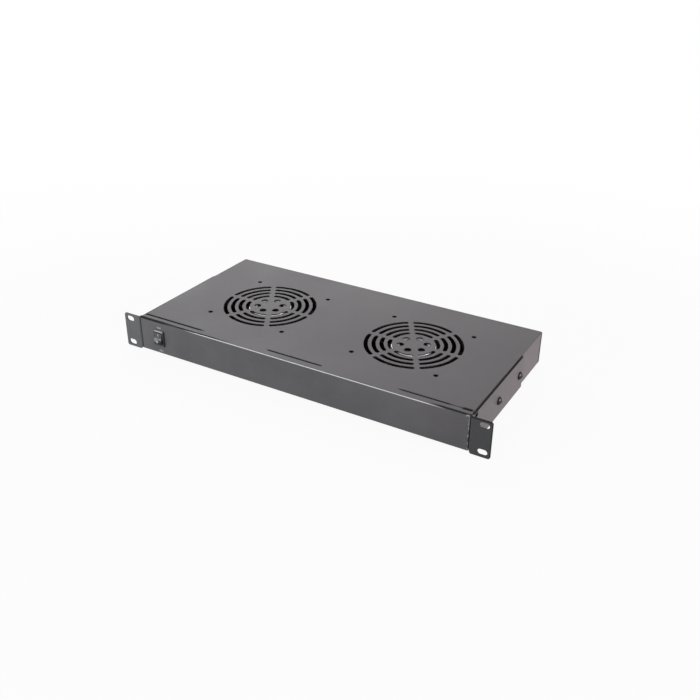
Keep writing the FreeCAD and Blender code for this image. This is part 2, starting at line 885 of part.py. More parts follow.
def switch_well():
    """The hollow the rocker turns in: round about the pivot, with flat sides and a flat floor."""
    floor = rocker_tail + rocker_radius * math.sin(math.radians(rocker_throw / 2))
    half = well_half_width
    block = box(-half, half, -rocker_pivot_depth, floor, -well_radius, well_radius)
    drum = Part.makeCylinder(well_radius, 2 * half, Vector(-half, 0, 0), Vector(1, 0, 0))
    return block.common(drum)


def switch_body():
    """Drawn about the rocker's pivot and set at its place in the panel."""
    front = -rocker_pivot_depth
    seat = front + bezel_thickness
    back = seat + switch_body_depth
    half_width = switch_body_width / 2
    half_height = switch_body_height / 2
    bezel_half_width = half_width + bezel_lip
    bezel_half_height = half_height + bezel_lip
    bezel = box(-bezel_half_width, bezel_half_width, front, seat, -bezel_half_height, bezel_half_height)
    rim = [edge for edge in bezel.Edges if abs(edge.CenterOfMass.y - front) < fit_gap]
    bezel = bezel.makeFillet(bezel_round, rim)
    body = box(-half_width, half_width, seat, back, -half_height, half_height)
    tools = [switch_well()]
    for sign in (-1, 1):
        bearing = Part.makeCylinder(
            pin_radius + rocker_gap / 4,
            pin_length + rocker_gap / 2,
            Vector(sign * well_half_width, 0, 0),
            Vector(sign, 0, 0),
        )
        tools.append(bearing)
    for z in switch_terminal_places():
        slot = box(
            -blade_terminal_width / 2 - fit_gap,
            blade_terminal_width / 2 + fit_gap,
            back - blade_terminal_width / 2,
            back,
            z - blade_terminal_thickness / 2 - fit_gap,
            z + blade_terminal_thickness / 2 + fit_gap,
        )
        tools.append(slot)
    return moved(bezel.fuse(body).cut(tools).removeSplitter(), switch_x, pivot_y, switch_z)


def switch_terminal_places():
    return [-switch_terminal_spacing / 2, switch_terminal_spacing / 2]


def switch_terminals():
    back = panel_front + switch_body_depth
    tabs = []
    for z in switch_terminal_places():
        tab = box(
            switch_x - blade_terminal_width / 2,
            switch_x + blade_terminal_width / 2,
            back - blade_terminal_width / 2,
            back + blade_terminal_length,
            switch_z + z - blade_terminal_thickness / 2,
            switch_z + z + blade_terminal_thickness / 2,
        )
        tabs.append(tab)
    return group(tabs)


def switch_rocker():
    """Two flat halves in a shallow V, with ends curved about the pivot; its upper half is pressed."""
    half_throw = math.radians(rocker_throw / 2)
    pressed = math.asin((rocker_pivot_depth + rocker_proud) / rocker_radius)
    # Drawn level: both ends stand turned out from the pressed place by half the throw.
    end_out = rocker_radius * math.sin(pressed + half_throw)
    end_up = rocker_radius * math.cos(pressed + half_throw)
    valley = end_out - end_up * math.tan(math.radians(rocker_dish))
    tail_up = math.sqrt(rocker_radius**2 - rocker_tail**2)

    def at(out, up):
        return Vector(-rocker_half_width, -out, up)

    def curved_end(sign):
        middle = at(0, sign * rocker_radius)
        return Part.Arc(at(end_out, sign * end_up), middle, at(-rocker_tail, sign * tail_up)).toShape()

    edges = [
        Part.makeLine(at(valley, 0), at(end_out, end_up)),
        curved_end(1),
        Part.makeLine(at(-rocker_tail, tail_up), at(-rocker_tail, -tail_up)),
        curved_end(-1),
        Part.makeLine(at(end_out, -end_up), at(valley, 0)),
    ]
    wire_loop = Part.Wire(Part.__sortEdges__(edges))
    solid = Part.Face(wire_loop).extrude(Vector(2 * rocker_half_width, 0, 0))
    for sign in (-1, 1):
        side_face = Vector(sign * rocker_half_width, 0, 0)
        pin = Part.makeCylinder(pin_radius, pin_length + rocker_gap, side_face, Vector(sign, 0, 0))
        solid = solid.fuse(pin)
    solid = solid.removeSplitter()
    solid.rotate(Vector(0, 0, 0), Vector(1, 0, 0), -rocker_throw / 2)
    return moved(solid, switch_x, pivot_y, switch_z)


# --- Mains inlet ---


def inlet_body():
    half_width = inlet_flange_width / 2
    half_height = inlet_flange_height / 2
    flange = box(-half_width, half_width, -half_height, half_height, 0, inlet_flange)
    flange = upright_rounded(flange, inlet_flange_round)
    body = box(
        -inlet_body_width / 2,
        inlet_body_width / 2,
        -inlet_body_height / 2,
        inlet_body_height / 2,
        -inlet_body_depth,
        0,
    )
    body = upright_rounded(body, inlet_round)
    half_w = socket_width / 2
    half_h = socket_height / 2
    outline = [
        Vector(-half_w, half_h, 0),
        Vector(half_w, half_h, 0),
        Vector(half_w, socket_chamfer - half_h, 0),
        Vector(half_w - socket_chamfer, -half_h, 0),
        Vector(socket_chamfer - half_w, -half_h, 0),
        Vector(-half_w, socket_chamfer - half_h, 0),
        Vector(-half_w, half_h, 0),
    ]
    socket = Part.Face(Part.makePolygon(outline)).extrude(Vector(0, 0, socket_depth))
    socket = moved(socket, z=inlet_flange - socket_depth)
    tools = [socket]
    for sign in (-1, 1):
        sink = countersink(m3_head_radius + thread_gap, m3_head_radius - m3_radius)
        tools.append(moved(sink, sign * inlet_screw, 0, inlet_flange))
        tools.append(rod(m3_radius + thread_gap, 0, inlet_flange, sign * inlet_screw))
    floor = inlet_flange - socket_depth
    for x, y in inlet_pin_places():
        half_x = inlet_pin_thickness / 2 + fit_gap
        half_y = inlet_pin_width / 2 + fit_gap
        tools.append(box(x - half_x, x + half_x, y - half_y, y + half_y, -inlet_body_depth, floor))
    solid = flange.fuse(body).cut(tools).removeSplitter()
    return to_rear(solid)


def inlet_pin_places():
    """Line, earth and neutral across the socket; the middle one is higher."""
    return [
        (-inlet_pin_spacing, -inlet_pin_offset),
        (0, inlet_pin_offset),
        (inlet_pin_spacing, -inlet_pin_offset),
    ]


def to_rear(shape):
    """From the inlet's own frame, Z out of the socket and Y up, to its place in the rear flange."""
    copy = shape.copy()
    copy.rotate(Vector(0, 0, 0), Vector(1, 0, 0), 90)
    copy.rotate(Vector(0, 0, 0), Vector(0, 0, 1), 180)
    copy.translate(Vector(inlet_x, rear, inlet_z))
    return copy


def inlet_pins():
    pins = []
    for x, y in inlet_pin_places():
        low = -inlet_body_depth - blade_terminal_length
        high = inlet_flange - inlet_pin_short
        half_x = inlet_pin_thickness / 2
        half_y = inlet_pin_width / 2
        pins.append(to_rear(box(x - half_x, x + half_x, y - half_y, y + half_y, low, high)))
    return group(pins)


def inlet_screws():
    length = inlet_flange + sheet + m3_nut_height + thread_end
    screw = flat_screw(m3_radius, m3_head_radius, length)
    face = rear + inlet_flange
    return group([aimed(screw, Vector(x, face, inlet_z), Vector(0, 1, 0)) for x in inlet_screw_places()])


def inlet_nuts():
    nut = hexagon_nut(m3_nut_flats, m3_nut_height, m3_radius + thread_gap)
    back = Vector(0, -1, 0)
    return group([aimed(nut, Vector(x, rear_inside, inlet_z), back) for x in inlet_screw_places()])


# --- Terminal block and earth stud ---


def clamp_places():
    return [(block_x + way, inlet_z + sign * clamp_spacing / 2) for way in block_ways for sign in (-1, 1)]


def terminal_block():
    """A moulded block: wire bores run through it from top to bottom, clamp screws enter from its face."""
    low = inlet_z - block_height / 2
    high = inlet_z + block_height / 2
    face = rear_inside - block_depth
    body = box(block_x - block_half_width, block_x + block_half_width, face, rear_inside, low, high)
    half = block_pocket / 2
    pocket = box(-half, half, 0, block_pocket_depth, -block_pocket_depth, block_pocket_depth)
    tools = []
    for way in block_ways:
        x = block_x + way
        tools.append(rod(block_entry_radius, low, high, x, face + block_entry_depth))
        for z in (low, high):
            tools.append(moved(pocket, x, face, z))
    for x, z in clamp_places():
        hole = rod(clamp_radius + thread_gap, 0, block_entry_depth)
        tools.append(aimed(hole, Vector(x, face, z), Vector(0, 1, 0)))
    place = Vector(block_x, rear_inside, inlet_z)
    screw_hole = rod(m3_radius + thread_gap, 0, block_depth)
    nut_pocket = rod(across_corners(m3_nut_flats) / 2 + thread_gap, block_base, block_depth)
    for tool in (screw_hole, nut_pocket):
        tools.append(aimed(tool, place, Vector(0, -1, 0)))
    return body.cut(tools)


def clamp_screws():
    face = rear_inside - block_depth
    length = block_entry_depth - block_entry_radius
    screw = rod(clamp_radius, 0, length)
    return group([aimed(screw, Vector(x, face, z), Vector(0, 1, 0)) for x, z in clamp_places()])


def block_screw():
    length = sheet + block_base + m3_nut_height + thread_end
    screw = domed_screw(m3_radius, m3_head_radius, m3_head_height, length)
    return aimed(screw, Vector(block_x, rear, inlet_z), Vector(0, 1, 0))


def block_nut():
    nut = hexagon_nut(m3_nut_flats, m3_nut_height, m3_radius + thread_gap)
    return aimed(nut, Vector(block_x, rear_inside - block_base, inlet_z), Vector(0, -1, 0))


def earth_stud():
    return aimed(rod(m4_radius, 0, stud_length), Vector(stud_x, rear_inside, inlet_z), Vector(0, -1, 0))


def earth_nut():
    """The nut and the toothed washer under it."""
    place = Vector(stud_x, rear_inside, inlet_z)
    back = Vector(0, -1, 0)
    washer = tube(washer_radius, m4_radius + thread_gap, 0, washer_thickness)
    nut = hexagon_nut(m4_nut_flats, m4_nut_height, m4_radius + thread_gap)
    return group([aimed(washer, place, back), aimed(moved(nut, z=washer_thickness), place, back)])


def build():
    shapes = {
        "tray_housing": tray_housing(),
        "front_panel": front_panel(),
        "rack_ear_right": rack_ear(),
        "rack_ear_left": mirrored(rack_ear()),
        "ear_screws": ear_screws(),
        "ear_nuts": ear_nuts(),
        "fan_screws": fan_screws(),
        "fan_nuts": fan_nuts(),
        "guard_screws": guard_screws(),
        "guard_nuts": guard_nuts(),
        "switch_body": switch_body(),
        "switch_rocker": switch_rocker(),
        "switch_terminals": switch_terminals(),
        "inlet_body": inlet_body(),
        "inlet_pins": inlet_pins(),
        "inlet_screws": inlet_screws(),
        "inlet_nuts": inlet_nuts(),
        "terminal_block": terminal_block(),
        "clamp_screws": clamp_screws(),
        "block_screw": block_screw(),
        "block_nut": block_nut(),
        "earth_stud": earth_stud(),
        "earth_nut": earth_nut(),
    }
    fan_pieces = {
        "fan_frame": [fan_frame()],
        "rotor_cup": [rotor_cup()],
        "rotor_cage": [rotor_cage()],
        "shaft": [shaft()],
        "shaft_clip": [shaft_clip()],
        "stator_core": [stator_core()],
        "stator_coils": stator_coils(),
        "bearings": bearings(),
        "bearing_plug": [bearing_plug()],
        "finger_guard": finger_guard(),
        "terminal_carrier": [terminal_carrier()],
        "terminal_tabs": terminal_tabs(),
    }
    blades = impeller()
    for hand, x, rest in zip(("left", "right"), fan_centres, rest_turns):
        shapes["impeller_" + hand] = moved(turned(blades, rest), x, fan_y)
        for name, pieces in fan_pieces.items():
            shapes[name + "_" + hand] = group([moved(piece, x, fan_y) for piece in pieces])
    return shapes


os.makedirs("parts", exist_ok=True)
for node, shape in build().items():
    shape.exportStep("parts/" + node + ".step")
    print(node, len(shape.Solids), "valid" if shape.isValid() else "NOT VALID", round(shape.Volume, 1))
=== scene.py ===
import math

import bmesh
import bpy
import numpy as np
from mathutils import Matrix, Vector


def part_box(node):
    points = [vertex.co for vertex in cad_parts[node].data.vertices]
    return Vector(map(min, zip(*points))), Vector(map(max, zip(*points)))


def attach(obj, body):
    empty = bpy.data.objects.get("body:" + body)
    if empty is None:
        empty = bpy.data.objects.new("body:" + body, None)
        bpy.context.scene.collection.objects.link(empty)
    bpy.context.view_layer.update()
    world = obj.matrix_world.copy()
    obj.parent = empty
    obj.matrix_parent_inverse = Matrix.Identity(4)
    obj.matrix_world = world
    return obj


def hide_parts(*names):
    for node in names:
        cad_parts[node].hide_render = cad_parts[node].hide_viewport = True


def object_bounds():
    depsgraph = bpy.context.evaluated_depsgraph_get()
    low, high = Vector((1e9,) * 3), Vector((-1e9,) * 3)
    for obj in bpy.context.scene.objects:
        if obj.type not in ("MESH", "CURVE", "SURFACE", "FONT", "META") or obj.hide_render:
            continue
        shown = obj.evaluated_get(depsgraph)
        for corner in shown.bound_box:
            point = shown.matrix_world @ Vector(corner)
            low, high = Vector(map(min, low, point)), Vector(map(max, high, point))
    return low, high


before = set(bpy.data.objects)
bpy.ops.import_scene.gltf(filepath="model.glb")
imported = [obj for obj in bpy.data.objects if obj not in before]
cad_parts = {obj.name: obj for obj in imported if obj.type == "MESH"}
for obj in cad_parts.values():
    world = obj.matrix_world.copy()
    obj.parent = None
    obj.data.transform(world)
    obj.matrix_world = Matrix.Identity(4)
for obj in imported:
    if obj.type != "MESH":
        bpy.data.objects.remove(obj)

cadLow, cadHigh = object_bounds()
mm = 0.001  # one millimetre in the scene's metres
scene = bpy.context.scene
print("frame loaded:", len(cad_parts), "nodes")


# onto a node's input: a plain value as it is, a socket by a link
def plug(tree, value, target):
    if isinstance(value, (int, float, tuple)):
        target.default_value = value
    else:
        tree.links.new(value, target)


def mathNode(tree, operation, first, second=None, clamp=False):
    node = tree.nodes.new("ShaderNodeMath")
    node.operation = operation
    node.use_clamp = clamp
    plug(tree, first, node.inputs[0])
    if second is not None:
        plug(tree, second, node.inputs[1])
    return node.outputs[0]


def vectorNode(tree, operation, first, second):
    node = tree.nodes.new("ShaderNodeVectorMath")
    node.operation = operation
    plug(tree, first, node.inputs[0])
    plug(tree, second, node.inputs[1])
    return node.outputs["Vector"]


def lengthNode(tree, vector):
    node = tree.nodes.new("ShaderNodeVectorMath")
    node.operation = "LENGTH"
    tree.links.new(vector, node.inputs[0])
    return node.outputs["Value"]


# the X, Y and Z of a vector
def splitNode(tree, vector):
    node = tree.nodes.new("ShaderNodeSeparateXYZ")
    tree.links.new(vector, node.inputs[0])
    return node.outputs


# low to high becomes toLow to toHigh, and stays level beyond both
def rangeNode(tree, value, low, high, toLow=0.0, toHigh=1.0, kind="LINEAR"):
    node = tree.nodes.new("ShaderNodeMapRange")
    node.interpolation_type = kind
    tree.links.new(value, node.inputs["Value"])
    for label, level in (("From Min", low), ("From Max", high), ("To Min", toLow), ("To Max", toHigh)):
        node.inputs[label].default_value = level
    return node.outputs["Result"]


# 0 below low, 1 above high, smooth between
def rampNode(tree, value, low, high):
    return rangeNode(tree, value, low, high, kind="SMOOTHSTEP")


def noiseNode(tree, vector, scale, detail, roughness):
    node = tree.nodes.new("ShaderNodeTexNoise")
    tree.links.new(vector, node.inputs["Vector"])
    plug(tree, scale, node.inputs["Scale"])
    node.inputs["Detail"].default_value = detail
    node.inputs["Roughness"].default_value = roughness
    return node.outputs["Fac"]


def mixShaders(tree, share, first, second):
    node = tree.nodes.new("ShaderNodeMixShader")
    for place, socket in enumerate((share, first, second)):
        tree.links.new(socket, node.inputs[place])
    return node.outputs[0]


# where the camera stands and how it looks down on the tray from the front right
cameraLook = {
    "place": (0.4763, -0.6995, 0.4911),
    "turn": -29.735,  # degrees from +Y towards +X
    "tilt": 28.3,  # degrees below level
    "roll": 0.67,
    "lens": 44.85,
    "sensor": 36.0,
    "near": 0.01,
    "far": 60.0,
}


def makeCamera(look):
    turn = math.radians(look["turn"])
    tilt = math.radians(look["tilt"])
    roll = math.radians(look["roll"])
    ahead = Vector((math.cos(tilt) * math.sin(turn), math.cos(tilt) * math.cos(turn), -math.sin(tilt)))
    right = Vector((math.cos(turn), -math.sin(turn), 0.0))
    up = right.cross(ahead)
    rolledRight = right * math.cos(roll) + up * math.sin(roll)
    rolledUp = up * math.cos(roll) - right * math.sin(roll)
    rotation = Matrix((rolledRight, rolledUp, -ahead)).transposed()
    data = bpy.data.cameras.new("camera")
    data.lens = look["lens"]
    data.sensor_width = look["sensor"]
    data.clip_start = look["near"]
    data.clip_end = look["far"]
    camera = bpy.data.objects.new("camera", data)
    scene.collection.objects.link(camera)
    camera.matrix_world = Matrix.Translation(look["place"]) @ rotation.to_4x4()
    scene.camera = camera


# name: (place, aimed at, size, power, colour)
lampLook = {
    "sideLamp": ((2.10, 0.35, 0.28), (0.0, 0.10, 0.0), 1.10, 52.5, (1.0, 0.870, 0.915)),
    "frontLamp": ((-0.85, -0.95, 0.18), (-0.1, 0.0, 0.0), 0.55, 8.6, (0.885, 0.960, 1.0)),
    "leftLamp": ((-1.00, 0.85, 0.75), (-0.15, 0.12, 0.0), 0.80, 5.2, (0.985, 0.985, 1.0)),
    "rearLamp": ((-0.50, 1.30, 0.60), (-0.1, 0.1, 0.0), 1.00, 3.8, (1.0, 1.0, 1.0)),
    "boomLamp": ((0.44, -1.04, 1.10), (0.0, 0.1, 0.0), 0.40, 5.6, (1.0, 1.0, 1.0)),
    # a small one for the glints on the hubs
    "sparkLamp": ((-0.52, -0.30, 1.06), (0.0, 0.1, 0.0), 0.30, 1.2, (1.0, 1.0, 1.0)),
}


def makeLamps(looks):
    for name, (place, aim, size, power, colour) in looks.items():
        data = bpy.data.lights.new(name, "AREA")
        data.shape = "DISK"
        data.size = size
        data.energy = power
        data.color = colour
        lamp = bpy.data.objects.new(name, data)
        scene.collection.objects.link(lamp)
        lamp.location = place
        lamp.rotation_euler = (Vector(aim) - Vector(place)).to_track_quat("-Z", "Y").to_euler()


# 1 for camera, glossy and transmission rays, 0 for the light that falls on things
def seenDirectly(tree):
    path = tree.nodes.new("ShaderNodeLightPath").outputs
    seen = mathNode(tree, "MAXIMUM", path["Is Camera Ray"], path["Is Glossy Ray"])
    return mathNode(tree, "MAXIMUM", seen, path["Is Transmission Ray"])


stageLook = {
    "skyLight": 0.18,
    "floorColour": (0.90, 0.90, 0.90),
    "floorReach": 14.0,
    "whiteShare": 0.92,  # how much of the floor near the tray is plain white to the eye
    "whiteFrom": 0.45,  # farther out than this it turns all white
    "whiteTo": 1.00,
    "coveredHalf": 0.205,  # beneath the tray only the paper shows: half the width, then front and back
    "coveredFrom": 0.020,
    "coveredTo": 0.205,
}


def makeWorld(look):
    world = bpy.data.worlds.new("world")
    scene.world = world
    world.use_nodes = True
    tree = world.node_tree
    tree.nodes.clear()
    out = tree.nodes.new("ShaderNodeOutputWorld")
    soft = tree.nodes.new("ShaderNodeBackground")
    soft.inputs["Strength"].default_value = look["skyLight"]
    white = tree.nodes.new("ShaderNodeBackground")
    white.inputs["Color"].default_value = (1, 1, 1, 1)
    mixed = mixShaders(tree, seenDirectly(tree), soft.outputs[0], white.outputs[0])
    tree.links.new(mixed, out.inputs["Surface"])


def makeFloor(look):
    reach, level = look["floorReach"], cadLow.z
    corners = [(x * reach, y * reach, level) for x, y in ((-1, -1), (1, -1), (1, 1), (-1, 1))]
    mesh = bpy.data.meshes.new("floor")
    mesh.from_pydata(corners, [], [(0, 1, 2, 3)])
    floor = bpy.data.objects.new("floor", mesh)
    scene.collection.objects.link(floor)
    material = bpy.data.materials.new("floorPaper")
    material.use_nodes = True
    tree = material.node_tree
    tree.nodes.clear()
    out = tree.nodes.new("ShaderNodeOutputMaterial")
    paper = tree.nodes.new("ShaderNodeBsdfDiffuse")
    paper.inputs["Color"].default_value = (*look["floorColour"], 1)
    white = tree.nodes.new("ShaderNodeEmission")
    white.inputs["Strength"].default_value = 1.0
    # the white share grows with the distance from the origin, and is none beneath the tray
    place = tree.nodes.new("ShaderNodeTexCoord").outputs["Object"]
    away = lengthNode(tree, place)
    share = rangeNode(tree, away, look["whiteFrom"], look["whiteTo"], look["whiteShare"])
    x, y, _ = splitNode(tree, place)
    covered = mathNode(tree, "LESS_THAN", mathNode(tree, "ABSOLUTE", x), look["coveredHalf"])
    covered = mathNode(tree, "MULTIPLY", covered, mathNode(tree, "GREATER_THAN", y, look["coveredFrom"]))
    covered = mathNode(tree, "MULTIPLY", covered, mathNode(tree, "LESS_THAN", y, look["coveredTo"]))
    share = mathNode(tree, "MULTIPLY", share, mathNode(tree, "SUBTRACT", 1.0, covered))
    share = mathNode(tree, "MULTIPLY", share, seenDirectly(tree))
    above = mixShaders(tree, share, paper.outputs[0], white.outputs[0])
    # from beneath the floor is clear, so the tray's underside can be looked at
    beneath = tree.nodes.new("ShaderNodeNewGeometry").outputs["Backfacing"]
    clear = tree.nodes.new("ShaderNodeBsdfTransparent")
    tree.links.new(mixShaders(tree, beneath, above, clear.outputs[0]), out.inputs["Surface"])
    mesh.materials.append(material)


scene.view_settings.view_transform = "Standard"
makeCamera(cameraLook)
makeLamps(lampLook)
makeWorld(stageLook)
makeFloor(stageLook)
print("camera, lamps and floor made")


# inputs: (name, kind, default), outputs: (name, kind); gives the group with its input and output nodes
def newGroup(name, inputs, outputs):
    group = bpy.data.node_groups.new(name, "ShaderNodeTree")
    for label, kind, default in inputs:
        socket = group.interface.new_socket(label, in_out="INPUT", socket_type="NodeSocket" + kind)
        if default is not None:
            socket.default_value = default
    for label, kind in outputs:
        group.interface.new_socket(label, in_out="OUTPUT", socket_type="NodeSocket" + kind)
    source = group.nodes.new("NodeGroupInput")
    target = group.nodes.new("NodeGroupOutput")
    return group, source.outputs, target.inputs


# powder coat: fine grain over a soft orange peel, with slow changes of tone across the sheet
def makeGrainGroup():
    group, source, target = newGroup(
        "powderGrain",
        [("Vector", "Vector", None), ("Grain", "Float", 1600.0), ("Cloud", "Float", 11.0)],
        [("Height", "Float"), ("Tone", "Float"), ("Speck", "Float")],
    )
    peelScale = 0.24  # beside the grain's
    grainShare, peelShare = 0.6, 0.4  # of the height
    toneFrom, toneTo = 0.3, 0.7
    speckFrom, speckTo = 0.62, 0.74
    vector = source["Vector"]
    grain = noiseNode(group, vector, source["Grain"], 2.0, 0.65)
    peel = noiseNode(group, vector, mathNode(group, "MULTIPLY", source["Grain"], peelScale), 1.0, 0.5)
    fine = mathNode(group, "MULTIPLY", grain, grainShare)
    coarse = mathNode(group, "MULTIPLY", peel, peelShare)
    cloud = noiseNode(group, vector, source["Cloud"], 4.0, 0.6)
    group.links.new(mathNode(group, "ADD", fine, coarse), target["Height"])
    group.links.new(rampNode(group, cloud, toneFrom, toneTo), target["Tone"])
    group.links.new(rampNode(group, grain, speckFrom, speckTo), target["Speck"])
    return group


# painted shade, painted highlights and wear all use this stripe
# a stripe along one straight edge: near its line, between two ends along the vector's X, in patches
def makeLightAndWearGroup():
    group, source, target = newGroup(
        "edgePaintedLightAndWear",
        [
            ("Vector", "Vector", None),
            ("Line", "Vector", None),  # a point on the line; its X isn't used
            ("Reach", "Float", 0.001),
            ("From", "Float", -0.1),
            ("To", "Float", 0.1),
            ("Fade", "Float", 0.02),
            ("Patchiness", "Float", 40.0),
            ("Amount", "Float", 0.5),
        ],
        [("Mask", "Float")],
    )
    steepness = 2.5  # of the stripe's flanks
    patchLevel, patchContrast = 0.8, 5.0
    vector = source["Vector"]
    along = splitNode(group, vector)["X"]
    away = vectorNode(group, "SUBTRACT", vector, source["Line"])
    away = lengthNode(group, vectorNode(group, "MULTIPLY", away, (0.0, 1.0, 1.0)))
    near = mathNode(group, "DIVIDE", away, source["Reach"])
    near = mathNode(group, "SUBTRACT", 1.0, near, clamp=True)
    near = mathNode(group, "MULTIPLY", near, steepness, clamp=True)
    rise = mathNode(group, "SUBTRACT", along, source["From"])
    rise = mathNode(group, "DIVIDE", rise, source["Fade"], clamp=True)
    fall = mathNode(group, "SUBTRACT", source["To"], along)
    fall = mathNode(group, "DIVIDE", fall, source["Fade"], clamp=True)
    within = mathNode(group, "MULTIPLY", rise, fall)
    patches = noiseNode(group, vector, source["Patchiness"], 3.0, 0.6)
    limit = mathNode(group, "MULTIPLY", mathNode(group, "SUBTRACT", 1.0, source["Amount"]), patchLevel)
    kept = mathNode(group, "SUBTRACT", patches, limit)
    kept = mathNode(group, "MULTIPLY", kept, patchContrast, clamp=True)
    mask = mathNode(group, "MULTIPLY", near, within)
    group.links.new(mathNode(group, "MULTIPLY", mask, kept, clamp=True), target["Mask"])
    return group


# painted shade on the cut edges of a sheet: above a height where the surface stands upright, or wherever
# it lies level
def makeCutShadeGroup():
    group, source, target = newGroup(
        "cutEdgePaintedShade",
        [
            ("Vector", "Vector", None),
            ("Normal", "Vector", None),
            ("Above", "Float", 0.0),
            ("Upright", "Float", 1.0),  # 1 marks upright walls, 0 marks level ones
        ],
        [("Mask", "Float")],
    )
    uprightBelow, levelAbove = 0.3, 0.8  # of the normal's Z
    facing = mathNode(group, "ABSOLUTE", splitNode(group, source["Normal"])["Z"])
    upright = mathNode(group, "LESS_THAN", facing, uprightBelow)
    level = mathNode(group, "GREATER_THAN", facing, levelAbove)
    high = mathNode(group, "GREATER_THAN", splitNode(group, source["Vector"])["Z"], source["Above"])
    walls = mathNode(group, "MULTIPLY", mathNode(group, "MULTIPLY", upright, high), source["Upright"])
    ledges = mathNode(group, "MULTIPLY", level, mathNode(group, "SUBTRACT", 1.0, source["Upright"]))
    group.links.new(mathNode(group, "ADD", walls, ledges, clamp=True), target["Mask"])
    return group


# turned metal: fine rings about an upright axis, a slow change of tone, and the distance from the axis
def makeRingsGroup():
    group, source, target = newGroup(
        "turnedRings",
        [("Vector", "Vector", None), ("Centre", "Vector", None), ("Pitch", "Float", 0.0004)],
        [("Height", "Float"), ("Tone", "Float"), ("Radius", "Float")],
    )
    toneScale = 70.0
    x, y, z = splitNode(group, vectorNode(group, "SUBTRACT", source["Vector"], source["Centre"]))
    squares = mathNode(group, "ADD", mathNode(group, "MULTIPLY", x, x), mathNode(group, "MULTIPLY", y, y))
    radius = mathNode(group, "SQRT", squares)
    turns = mathNode(group, "DIVIDE", mathNode(group, "ADD", radius, z), source["Pitch"])
    join = group.nodes.new("ShaderNodeCombineXYZ")
    group.links.new(turns, join.inputs[0])
    group.links.new(noiseNode(group, join.outputs[0], 1.0, 2.0, 0.6), target["Height"])
    group.links.new(noiseNode(group, source["Vector"], toneScale, 2.0, 0.5), target["Tone"])
    group.links.new(radius, target["Radius"])
    return group


# thin layers stacked along an axis, as laminations or the turns of a winding
def makeLayersGroup():
    group, source, target = newGroup(
        "stackedLayers",
        [("Vector", "Vector", None), ("Axis", "Vector", (0.0, 0.0, 1.0)), ("Pitch", "Float", 0.0005)],
        [("Height", "Float")],
    )
    dot = group.nodes.new("ShaderNodeVectorMath")
    dot.operation = "DOT_PRODUCT"
    group.links.new(source["Vector"], dot.inputs[0])
    group.links.new(source["Axis"], dot.inputs[1])
    turns = mathNode(group, "DIVIDE", dot.outputs["Value"], source["Pitch"])
    wave = mathNode(group, "PINGPONG", turns, 0.5)  # up and down once in each pitch, to 0.5
    group.links.new(mathNode(group, "MULTIPLY", wave, 2.0), target["Height"])
    return group


grainGroup = makeGrainGroup()
lightAndWearGroup = makeLightAndWearGroup()
cutShadeGroup = makeCutShadeGroup()
ringsGroup = makeRingsGroup()
layersGroup = makeLayersGroup()


# a material under construction: its tree, its shader and the object coordinates
class Look:
    def __init__(self, name, colour, roughness, metallic=0.0, specular=0.5):
        self.material = bpy.data.materials.new(name)
        self.material.use_nodes = True
        self.tree = self.material.node_tree
        self.shader = self.tree.nodes["Principled BSDF"]
        self.shader.inputs["Base Color"].default_value = (*colour, 1)
        self.shader.inputs["Roughness"].default_value = roughness
        self.shader.inputs["Metallic"].default_value = metallic
        self.shader.inputs["Specular IOR Level"].default_value = specular
        coordinates = self.tree.nodes.new("ShaderNodeTexCoord")
        self.place = coordinates.outputs["Object"]
        self.facing = coordinates.outputs["Normal"]

    def group(self, group, **values):
        node = self.tree.nodes.new("ShaderNodeGroup")
        node.node_tree = group
        self.tree.links.new(self.place, node.inputs["Vector"])
        if "Normal" in node.inputs:
            self.tree.links.new(self.facing, node.inputs["Normal"])
        for label, value in values.items():
            node.inputs[label].default_value = value
        return node

    # the node's X reads the given axis, and that axis's place takes X
    def swapAxes(self, node, axis):
        parts = splitNode(self.tree, self.place)
        join = self.tree.nodes.new("ShaderNodeCombineXYZ")
        turned = {"X": axis, axis: "X"}
        for target in "XYZ":
            self.tree.links.new(parts[turned.get(target, target)], join.inputs[target])
        self.tree.links.new(join.outputs[0], node.inputs["Vector"])

    # the mask of one stripe
    def stripe(self, markLook):
        node = self.group(
            lightAndWearGroup, Line=(0.0, *markLook["line"]), Reach=markLook["reach"], From=markLook["from"], To=markLook["to"],
            Fade=markLook["fade"], Patchiness=markLook["patches"], Amount=markLook["amount"],
        )
        if markLook["along"] != "X":
            self.swapAxes(node, markLook["along"])
        return node.outputs["Mask"]

    # stripes of painted shade, painted highlight and wear over a colour; the dull ones are rougher as
    # well
    def paintLightAndWear(self, paintedLightAndWear, colour, roughness):
        for markLook in paintedLightAndWear:
            mask = self.stripe(markLook)
            colour = self.mixColour(mask, colour, markLook["colour"])
            dull = mathNode(self.tree, "MULTIPLY", mask, markLook["dull"])
            roughness = mathNode(self.tree, "ADD", roughness, dull, clamp=True)
        return colour, roughness

    # sockets or plain colours, the second where the mask is 1
    def mixColour(self, mask, first, second):
        node = self.tree.nodes.new("ShaderNodeMix")
        node.data_type = "RGBA"
        for place, value in ((6, first), (7, second)):
            plug(self.tree, (*value, 1) if isinstance(value, tuple) else value, node.inputs[place])
        self.tree.links.new(mask, node.inputs[0])
        return node.outputs[2]

    # the colour made darker and lighter by a share, as the mask goes from 0 to 1
    def swingColour(self, mask, colour, share):
        dark = tuple(c * (1 - share) for c in colour)
        light = tuple(c * (1 + share) for c in colour)
        return self.mixColour(mask, dark, light)

    # the value 0 to 1 carried to low to high
    def spread(self, value, low, high):
        return rangeNode(self.tree, value, 0.0, 1.0, low, high)

    def feed(self, label, value):
        self.tree.links.new(value, self.shader.inputs[label])

    def bump(self, height, depth):
        node = self.tree.nodes.new("ShaderNodeBump")
        node.inputs["Distance"].default_value = depth
        node.inputs["Strength"].default_value = 1.0
        self.tree.links.new(height, node.inputs["Height"])
        self.tree.links.new(node.outputs["Normal"], self.shader.inputs["Normal"])
